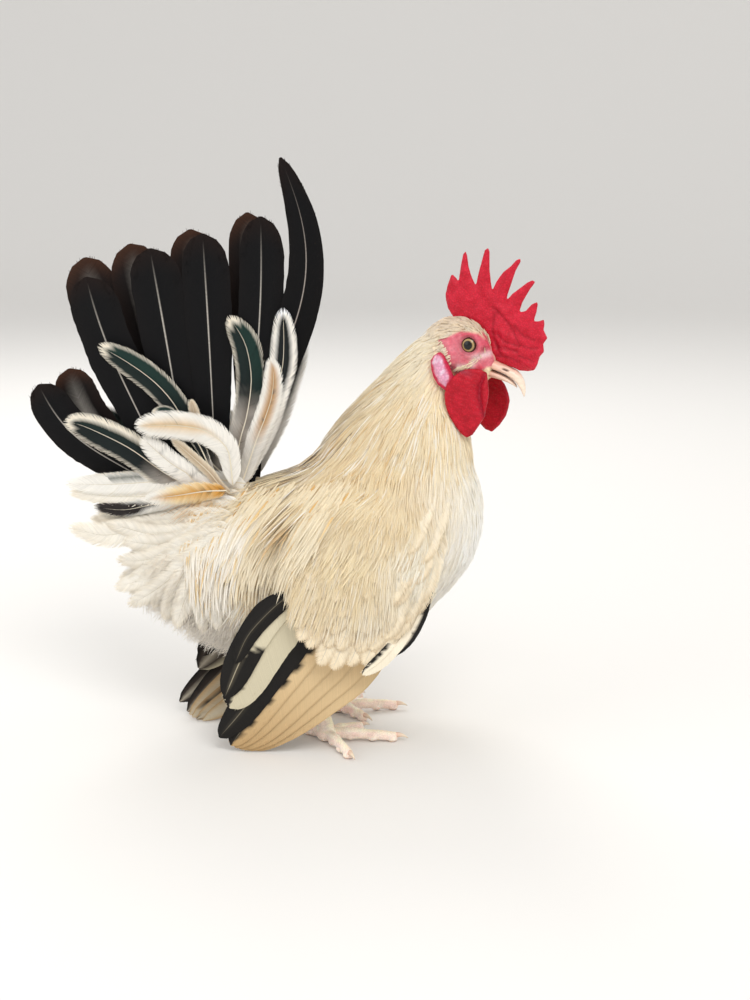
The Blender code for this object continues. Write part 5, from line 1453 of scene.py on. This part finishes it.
# Dark webs by style: where the pale rim starts on the left and the right web, how strong the painted green sheen is,
# and where the smoky quill gives way to the web.
DARK_WEBS = {
    "green": (0.86, 0.86, 1.0, (0.05, 0.2)), "smoky": (0.74, 0.9, 1.0, (0.30, 0.55)),
    "rimmed": (0.56, 0.86, 0.4, (0.28, 0.5)),
}
COVERT_FIRST, COVERT_STEP = 7.6, 0.95
FILLER_PLUMES = 10
CUSHION_SHAPE = {"round_from": 0.66, "root": 0.5, "full_at": 0.35, "rough": 0.01}
SHAFT_RING = ((-1, 0), (0, 0.22), (1, 0))
FLAT_BARB = ((-1, 0), (0, 0.10), (1, 0))


def wavy(shares, scale, *seed):
    """Slow random waves along a feather."""
    waves = [noise.noise(Vector((scale * share, *seed))) for share in np.ravel(shares)]
    return np.reshape(waves, np.shape(shares))


def covert_colour(style, past, side, along):
    """Colours in a soft feather: past runs from shaft to rim, along from root to tip, side tells the web."""
    cream, white, dark, smoke = linear("F1E7D2"), linear("F6F1E6"), linear("15191A"), linear("A79C90")
    wave = wavy(along, 13.0, 2.0 + side, 0)
    if style in DARK_WEBS:
        left_rim, right_rim, gloss, quill = DARK_WEBS[style]
        rim, painted_sheen = (left_rim, 0.75) if side > 0 else (right_rim, 0.25)
        # The green on the dark web is a painted sheen, stronger on the left web and towards the tip.
        web = mix(dark, "19362F", painted_sheen * soft(along, 0.35, 0.7) * gloss)
        web = mix(web, cream, soft(past + 0.10 * wave, rim - 0.03, rim + 0.05))
        web = mix(web, cream, soft(along + 0.06 * past, 0.955, 0.985))
        return mix(mix(smoke, white, 0.5 * past), web, soft(along + 0.12 * wave, *quill))
    if style == "barred":
        web = mix(dark, white, soft(past + 0.12 * wave, 0.46, 0.52) + soft(along, 0.955, 0.98))
        return mix(mix(smoke, white, 0.6), web, soft(along + 0.1 * wave, 0.35, 0.55))
    if style == "gold":
        spots = soft(wave - 1.2 * past, 0.10, 0.2) * soft(along, 0.3, 0.4) * (1 - soft(along, 0.72, 0.8))
        web = mix(mix("C08A45", white, soft(past, 0.22, 0.5)), "2A2018", spots)
        return mix(mix(smoke, white, 0.7), web, soft(along, 0.3, 0.5))
    if style == "buff":
        return mix("E0BE8C", white, np.clip(soft(past, 0.05, 0.5) + 1 - soft(along, 0.3, 0.55), 0, 1))
    if style == "tan":
        return mix("BFA37F", "E9DCC3", past)
    if style == "smudged":
        smudge = soft(wave, 0.12, 0.25) * soft(along, 0.25, 0.4) * (1 - soft(along, 0.7, 0.8))
        return mix(white, "77726B", 0.8 * smudge * (1 - past * 0.5))
    if style == "dashed":
        dash = soft(-abs(along - 0.66), -0.10, -0.09) * soft(-abs(past - 0.45), -0.3, -0.2)
        return mix(white, "6E7068", 0.9 * dash * (side > 0))
    if style == "black_end":
        return mix(white, "2A2524", soft(along - 0.25 * past, 0.50, 0.58) * (1 - soft(along, 0.97, 1.0)))
    if style == "golden":
        web = mix("D3953F", "F3D9A6", soft(past + 0.8 * along + 0.3 * wave, 0.55, 1.0))
        web = mix(web, "3A2A1C", 0.8 * soft(wave - past, 0.02, 0.1) * soft(-along, -0.35, -0.2))
        return mix(web, white, soft(along + 0.2 * past, 0.72, 0.95))
    if style == "streaked":
        return mix("EED6A4", white, soft(past, 0.1, 0.6))
    if style == "wing":
        web = mix("FAEDD2", "F5E2BF", soft(along, 0.2, 1.0))
        # The rim of the outer half is painted browner, as a painted shade line where each covert overlaps the tier
        # below.
        return mix(web, "B08C60", 0.30 * soft(past, 0.86, 1.0) * soft(along, 0.5, 0.8))
    return mix("F8F1E2", "EADBC0", 0.6 * soft(0.5 * wave + 0.3 * past, 0.05, 0.5))


def plume_barbs(line, ups, half, style, gap, number, number_of, wild, stops):
    """The barbs of one soft feather: their spines, facings, half widths, colours, and patches with their sizes."""
    along = unit(np.gradient(line, axis=0))
    across = unit(np.cross(along, ups))
    over = np.cross(across, along)
    length = np.linalg.norm(np.diff(line, axis=0), axis=1).sum()
    rim = np.r_[0, np.cumsum(np.hypot(np.diff(BLADE_S) * length, np.diff(half)))]
    count = max(12, int(length / gap))
    made = []
    columns = math.ceil(math.sqrt(number_of))
    cell = np.array(((number % columns + 0.5) / columns, (number // columns + 0.5) / columns))
    for side in (-1, 1):
        order = (np.arange(count) + dice.uniform(0.1, 0.9, count)) / count
        start, first = 0.93 * order, 0.9 * half.max() / rim[-1]
        end = np.interp((first + (1 - first) * order) * rim[-1], rim, BLADE_S)
        out = np.interp(end, BLADE_S, half) * (1 - 0.12 * wild * dice.random(count))
        share = start[:, None] + (end - start)[:, None] * stops ** 1.2
        away = out[:, None] * stops ** 0.85
        middle, beside, above = (between(values, share * (BLADE_STEPS - 1)) for values in (line, across, over))
        rise = 0.2 - 0.05 * away ** 2 / half.max() + 0.30 * wild * dice.normal(0, 1, (count, 1)) * stops ** 2
        width = gap * 0.72 * np.interp(stops, (0, 0.35, 0.7, 1), (0.8, 1.0, 0.75, 0.16))
        colours = covert_colour(style, np.broadcast_to(stops, share.shape), side, share)
        made.append((
            middle + beside * (side * away)[..., None] + above * rise[..., None],
            unit(above + beside * side * 0.3),
            width[None, :] * dice.uniform(0.8, 1.2, (count, 1)),
            colours * dice.uniform(0.93, 1.05, (count, 1, 1)),
            cell + np.c_[(order - 0.5) * 0.9, np.full(count, side * 0.24)] / columns,
            np.tile((0.8 / count / columns, 0.42 / columns), (count, 1)),
        ))
    return [np.concatenate(values) for values in zip(*made)]


def lay_plumes(name, rows, gap, slot_name, wild, points_in_barb=3):
    """Joins soft feathers, given as spine, facing, half widths and style, as barbs and as shafts."""
    stops = np.linspace(0, 1, points_in_barb)
    made = [plume_barbs(*r, gap, number, len(rows), wild, stops) for number, r in enumerate(rows)]
    spines, tops, widths, colours, patches, sizes = (np.concatenate(values) for values in zip(*made))
    barbs = barbs_mesh(name, spines, tops, widths, FLAT_BARB, colours[:, :, None, :], patches, sizes, droop=0)
    finish(barbs, slot_name, (), soft_vane)
    lines, ups = np.stack([r[0] for r in rows])[:, ::2], np.stack([r[1] for r in rows])[:, ::2]
    steps = lines.shape[1]
    half = np.linspace(0.42, 0.10, steps)[None, :] * np.ones((len(rows), 1))
    shade = mix("EFE3C8", "D8CDB8", np.linspace(0, 1, steps))[None, :, None, :]
    shafts = barbs_mesh(name + "_shafts", lines + ups * 0.28, ups, half, SHAFT_RING, shade, *strips(len(rows)), droop=0)
    finish(shafts, slot_name, (), soft_vane)
    print(name, len(rows), "feathers,", len(spines), "barbs")


def skin_out(x, z, side, otherwise):
    """How far out the skin is on one side, at a place seen from that side."""
    hit = skin_tree.ray_cast(Vector((x, side * 95.0, z)), Vector((0, -side, 0)))[0]
    return otherwise if hit is None else side * hit.y


def evened(values):
    """The running mean of seven values, with the end ones carried on."""
    return np.convolve(np.r_[[values[0]] * 3, values, [values[-1]] * 3], np.ones(7) / 7, "valid")


def moved_out(line, out):
    """A copy of a spine at other places to the side."""
    line = line.copy()
    line[:, 1] = out
    return line


def over_skin(line, side, above, narrowest):
    """Lays a flat spine over the skin on one side, leaving it where the body turns away faster than a feather bends."""
    out = []
    stride = np.linalg.norm(np.diff(line, axis=0), axis=1).mean()
    for x, _, z in line:
        out.append(max(skin_out(x, z, side, narrowest), narrowest, out[-1] - 0.30 * stride if out else 0))
    return moved_out(line, side * (evened(out) + above))


def in_down(points):
    """The fluff behind the thighs and under the tail."""
    x, _, z = points.T
    return (x < -38) & (x > -88) & (z < 72) | (x < -66) & (z < 114)


def at_tail_base(points):
    """The back just before the tail."""
    x, y, z = points.T
    return (x < -34) & (x > -74) & (z > 126) & (abs(y) < 26)


soft_vane = plume_material("soft_vane", "F1E7D2", 0.80, 0.9, 0.03, 0.15, 0.2, glow=0.2)
covert_rows, cushion_rows = [], {RIGHT: [], LEFT: []}
for side in (RIGHT, LEFT):
    for place, (stops, half, style) in enumerate(TAIL_COVERTS):
        line = splayed(bent_spine(stops), side, COVERT_FIRST + COVERT_STEP * place)
        up = facing_out(line, side, dice.uniform(-0.2, 0.2))
        covert_rows.append((line, up, blade_width(half, round_from=0.72, root=0.45, full_at=0.4, rough=0.006), style))
    plumes = [bent_spine(stops) for stops, _, _ in CUSHION_PLUMES]
    for layer, (shrink, above) in enumerate(((1.0, 2.6), (0.93, 1.4))):
        for k, (_, half, style) in enumerate(CUSHION_PLUMES):
            line = plumes[k]
            if layer == 1:
                line, style = mix(line, plumes[max(k - 1, 0)], 0.5), "white"
            line = line[0] + (line - line[0]) * shrink * (1.0 if side == RIGHT else dice.uniform(0.9, 0.98))
            narrowest = 18.5 if style == "golden" else 10.0 - 4 * layer
            line = over_skin(line, side, above - 1.2 + 0.5 * (k % 3), narrowest)
            up = facing_out(line, side, dice.uniform(-0.3, 0.3), dice.uniform(-0.1, 0.1))
            cushion_rows[side].append((line, up, blade_width(half, **CUSHION_SHAPE), style))
    # Shorter plumes under the others fill the gaps between them.
    for k in range(FILLER_PLUMES):
        line = mix(plumes[k], plumes[k + 1], dice.random())
        line = line[0] + (line - line[0]) * dice.uniform(0.82, 0.95) + np.array((-6.0, 0, 0))
        line = moved_out(line, side * (dice.uniform(2, 6) + np.linspace(4, 0, BLADE_STEPS) * dice.random()))
        up = facing_out(line, side, dice.uniform(-0.6, 0.6))
        cushion_rows[side].append((line, up, blade_width(6.0, **CUSHION_SHAPE), "white"))
lay_plumes("tail_coverts", covert_rows, 0.62, "tail_feather", wild=0.6, points_in_barb=4)
for side in (RIGHT, LEFT):
    lay_plumes("cushion_" + SIDE_NAMES[side], cushion_rows[side], 0.85, "buff_feather", wild=0.9)
# The down under the tail is painted darker towards its roots, as painted shade under the body and tail.
dress("vent_down", in_down, ANY, 0.50, 60000, 6, 3.0, 0.35, locks=(5, 0.25), reach=0.6, slim=0.13, cling=0.4, fall=0.35,
      bleach=0.45, root_shade=0.82)
dress("tail_base_down", at_tail_base, ANY, 0.5, 40000, 6, 4.5, 0.45, locks=(6, 0.4), reach=0.5, slim=0.14, cling=0.4,
      bleach=0.3)

# Saddle: long soft strands that leave the back on each side, lie over the wing's root and the cushion and hang free at
# their white tips. Each follows a way between two neighbouring lines drawn over the side, golden next to the tail.
SADDLE_LINES = (
    ((-55, 138), (-66, 130), (-73, 118), (-76, 102)), ((-55, 137), (-64, 124), (-69, 108), (-70, 90)),
    ((-50, 138), (-60, 118), (-66, 95), (-66, 68)), ((-40, 138), (-53, 116), (-59, 90), (-60, 60)),
    ((-28, 139), (-44, 114), (-52, 88), (-53, 62)), ((-14, 141), (-33, 114), (-42, 90), (-43, 70)),
    ((0, 144), (-19, 117), (-30, 92), (-32, 68)), ((12, 146), (-6, 118), (-17, 96), (-21, 74)),
    ((24, 146), (8, 118), (-3, 98), (-9, 82)),
)
SADDLE_STRANDS, SADDLE_STEPS = 1100, 10


def lay_strands(name, side, lines, shades, least, most):
    """Joins long thin strands, given as spines and colours, with half widths between two bounds, as one piece."""
    lines, shades = np.stack(lines), np.clip(np.stack(shades), 0, 1)
    count, steps = lines.shape[:2]
    ups = np.stack([facing_out(line, side, 0.0) for line in lines])
    half = dice.uniform(least, most, (count, 1)) * pointed(np.linspace(0, 1, steps))[None, :]
    patch = unwrap_at(lines[:, 0], on_skin(lines[:, 0])[2])
    made = barbs_mesh(name + SIDE_NAMES[side], lines, ups, half, RING_THREE, shades[:, :, None, :], patch, SMALL_PATCH)
    finish(made, "buff_feather", (), buff_plumage)


ways, shares = [bent_spine(stops) for stops in SADDLE_LINES], np.linspace(0, 1, SADDLE_STEPS)
for side in (RIGHT, LEFT):
    lines, shades = [], []
    for k in range(SADDLE_STRANDS):
        way = (len(ways) - 1.001) * dice.random() ** 0.9
        low = int(way)
        start = dice.uniform(0, 0.5)
        end = min(start + dice.uniform(0.36, 0.55), dice.uniform(0.86, 1.02))
        at = np.linspace(start, end, SADDLE_STEPS) * (BLADE_STEPS - 1)
        line = along_line(at, np.arange(BLADE_STEPS), mix(ways[low], ways[low + 1], way - low))
        line[:, 0] += dice.normal(0, 1.2) + dice.normal(0, 1.6) * shares ** 2
        lines.append(over_skin(line, side, np.linspace(0.2, 1, SADDLE_STEPS) ** 0.7 * dice.uniform(2.2, 5.2), 4.0))
        golden = dice.random() < (0.5 if way < 1.6 else 0.10 if way < 4 else 0.03)
        base = linear("DFAE6A" if golden else "F1DFBB") * (1 + 0.05 * dice.normal())
        shades.append(mix(base, "F3D9A8" if golden else "FBF5E9" if way < 5 else "F4E5C6", shares ** 1.3))
    lay_strands("saddle_hackle_", side, lines, shades, 0.35, 0.9)


# Wings: drooped to the floor, long pointed buff primaries in front, black and cream secondaries behind, and rounded
# coverts in tiers over their quills. Each is a stiff blade with a raised shaft and a dark inner web; its underside is
# dark, partly its own colour and partly painted shade.
WING_FIRST, FLIGHT_STEP = 42.5, 0.9
# Flight feathers from the innermost level outwards: places (x, z) along the shaft, half width and style.
FLIGHTS = (
    (((46, 72), (29, 47), (6, 27), (-16, 11), (-31, 1)), 6.6, "buff"),
    (((42, 75), (24, 51), (1, 30), (-20, 12), (-35, 1.2)), 7.2, "buff"),
    (((36, 77), (17, 54), (-5, 32), (-24, 13), (-38, 1.8)), 7.6, "buff"),
    (((29, 78), (11, 58), (-11, 35), (-28, 16), (-40, 2.6)), 8.0, "buff"),
    (((21, 79), (4, 64), (-15, 41), (-31, 20), (-42, 3.8)), 9.0, "edged"),
    (((14, 80), (-3, 66), (-20, 45), (-35, 24), (-48, 8)), 8.5, "black"),
    (((8, 84), (-4, 78), (-16, 68), (-30, 47), (-42, 25)), 12.0, "grey"),
    (((3, 90), (-10, 84), (-22, 74), (-34, 54), (-44, 31)), 8.6, "patched"),
    (((1, 96), (-9, 88), (-20, 78), (-31, 65), (-38, 50)), 5.0, "black"),
)
# How far each wing's tips are swung in and back and its roots set back.
WING_SWING = {RIGHT: (-2, 0, 0), LEFT: (50, 40, 12)}
# The lowest coverts' tips (x, z); six more tiers lie above them, each feather a little shorter.
LOWEST_TIPS = ((-2, 65), (3, 62), (8, 54), (15, 52), (24, 53.5), (31, 54), (39, 60), (47, 69), (54, 80))
COVERT_TIERS, HIGHEST_COVERT, COVERT_LEVEL = 7, 140.0, 53.0
WING_WISPS, WISP_STEPS = 1200, 7
# The thumb's two feathers: root, tip and half width.
THUMB = (((66, 103), (47, 62), 4.4), ((61, 84), (31, 51), 3.8))
FLAT_S, FLAT_U = np.broadcast_arrays(BLADE_S[:, None], BLADE_U[None, :])


def wing_reach(x, z):
    """How far out the folded wing's coverts stand at a place seen from the side; they sink into the shoulder above."""
    return (COVERT_LEVEL + 2.5 - 20 * soft(z, 98, 134) - 30 * soft(z, 134, 158)
            - 12 * soft(x, 46, 62) - 14 * soft(-x, 6, 24))


def over_wing(line, side, above):
    """Lays a flat spine over one wing's coverts and the shoulder's skin, whichever stands out further."""
    out = [max(skin_out(x, z, side, 0), wing_reach(x, z)) for x, _, z in line]
    return moved_out(line, side * (np.maximum(out, evened(out)) + above))


def flight_blade(style, side, jag, far):
    """Colours of a flight feather by its style; its underside is dark, the black feathers' own colour and on the others
    painted shade, which on the far wing leaves the buff feathers' tips pale.
    """
    inner, s = FLAT_U * -side, FLAT_S
    ragged = wavy(BLADE_S, 16.0, jag, 0)[:, None]
    buff = mix("D8BC90", "B59363", soft(s, 0.45, 1.0) * 0.85)
    buff = mix(buff, "A98558", 0.35 * soft(abs(inner), 0.90, 1.0))
    black = linear("15120F") + 0 * buff
    if style == "buff":
        body = mix(buff, "BE9D74", 0.3 * soft(inner, 0.1, 0.8))
    elif style == "edged":
        body = mix(buff, black, soft(inner + 0.45 * ragged, -0.32, -0.24))
    elif style == "grey":
        body = mix("CCC2A6", black, soft(inner + 0.5 * ragged * soft(s, 0.7, 0.9), 0.03, 0.08))
    elif style == "patched":
        dark = soft(inner, 0.03, 0.08) + soft(s + 0.25 * ragged - 0.1 * inner, 0.62, 0.66)
        body = mix("D2C8AC", black, np.clip(dark, 0, 1))
    else:
        body = black
    pale = {"buff": 0.4, "grey": 0.75, "patched": 0.75}.get(style, 0.3)
    shaft = soft(-abs(BLADE_U)[None, :], -0.05, 0.0)
    body = mix(body, "E0D2B2", shaft * pale * (1 - soft(s, 0.9, 1.0)))
    # How pale the buff feathers' underside is: the darker part is painted shade, and on the far wing only the tips are
    # left pale.
    light = 0.55 + 0 * s
    if far:
        light = soft(s + 0.2 * ragged, 0.40, 0.50) * (1 - soft(abs(inner) + 0.5 * ragged, 0.62, 0.75))
    under = mix(mix("3A312C", "CDBD9E", light * (style == "buff")), "CFC5B0", 0.7 * shaft)
    return np.where(BLADE_UNDER[None, :, None], under, body)


def thumb_blade(k, side):
    """Colours of a thumb feather: cream, with a black outer web on the first and a black inner tip on the second."""
    outer, wave = FLAT_U * side, wavy(BLADE_S, 12.0, 4.0 + k, 0)[:, None]
    if k == 0:
        return mix("F0E4CC", "15120F", soft(outer + 0.3 * wave, 0.30, 0.40) * soft(FLAT_S, 0.1, 0.2))
    return mix("F0E4CC", "15120F", soft(-outer + 0.3 * wave, 0.5, 0.6) * soft(FLAT_S, 0.45, 0.55))


wing_vane = plume_material("wing_vane", "E2CBA0", 0.70, 0.62, 0.06, 0.0, 0.25)
for side in (RIGHT, LEFT):
    side_name = SIDE_NAMES[side]
    swing_in, swing_back, root_back = WING_SWING[side]
    rows = []
    for place, (stops, half, style) in enumerate(FLIGHTS):
        line = bent_spine(stops)
        high = stops[-1][1] / 58
        line[:, 0] -= root_back + (swing_back * (1 - 0.2 * high) - root_back) * BLADE_S
        inwards = swing_in * (1 - 0.6 * high) * BLADE_S ** (2.4 if side == LEFT else 1.4)
        line[:, 1] = side * (WING_FIRST + FLIGHT_STEP * place - inwards)
        line[:, 2] = np.maximum(line[:, 2], 0.8)
        width = blade_width(half, round_from=0.66, root=0.5, full_at=0.35, rough=0.006)
        up = facing_out(line, side, dice.uniform(-0.05, 0.05), 0.06)
        rows.append((line, up, width, flight_blade(style, side, place * 1.7, side == LEFT)))
    for k, (root, tip, half) in enumerate(THUMB):
        line = over_wing(flat_spine(root, tip, -2), side, np.interp(BLADE_S, (0, 0.3, 1), (-4.0, 0.8, 1.6 + 0.6 * k)))
        width = blade_width(half, round_from=0.65, root=0.2, full_at=0.45)
        rows.append((line, facing_out(line, side, 0.1), width, thumb_blade(k, side)))
    lay_blades(
        "wing_feathers_" + side_name, rows, "buff_feather", ("wing_" + side_name,), wing_vane, (24, 1.3, 0.26), 0.6)

    # The coverts lie in staggered tiers, each over the one below.
    rows = []
    for tier in range(COVERT_TIERS):
        for k, (x, z) in enumerate(LOWEST_TIPS):
            length = 36 - 1.6 * tier + dice.uniform(-2, 2)
            tip = np.array((x + 3.4 * (tier % 2) + dice.uniform(-1, 1), z + 9.0 * tier + dice.uniform(-1.2, 1.2)))
            root = tip + np.array((0.27, 0.95)) * length
            if root[1] > HIGHEST_COVERT:
                continue
            line = over_wing(flat_spine(root, tip, -1.5), side, np.linspace(-1.8, 0.55 + 0.3 * (k % 2), BLADE_STEPS))
            up = facing_out(line, side, dice.uniform(-0.08, 0.08), 0.05)
            rows.append((line, up, blade_width(6.2, round_from=0.6, root=0.6, full_at=0.3, rough=0.01), "wing"))
    lay_plumes("wing_coverts_" + side_name, rows, 0.66, "buff_feather", wild=0.4)

    # Thin wisps blur the step from the neck's strands to the coverts.
    lines, shades, at = [], [], np.linspace(0, 1, WISP_STEPS)
    for k in range(WING_WISPS):
        x, z = dice.uniform(-4, 60), dice.uniform(88, 152)
        x += 8 * soft(z, 120, 152)
        lean = min(0.5 - 0.008 * (x + 16) + dice.normal(0, 0.06), (x + 8) / 30)
        floor = np.interp(x - 26 * lean, *zip(*LOWEST_TIPS)) + 4
        reach = min(dice.uniform(20, 38), z - floor)
        line = np.stack([x - reach * lean * at, 0 * at, z - reach * (at - 0.12 * at ** 2)], axis=1)
        lines.append(over_wing(line, side, np.interp(at, (0, 0.2, 1), (-1.6, 0.5, dice.uniform(0.9, 1.9)))))
        base = spread_from(lines[-1][:1], colour_places, colour_values)[0]
        paler = dice.choice((0.05, 0.2, 0.6), p=(0.5, 0.32, 0.18)) * at + 0.05
        shades.append(mix(base, "FAF3E4", paler) * dice.uniform(0.97, 1.03))
    lay_strands("wing_wisps_", side, lines, shades, 0.22, 0.5)
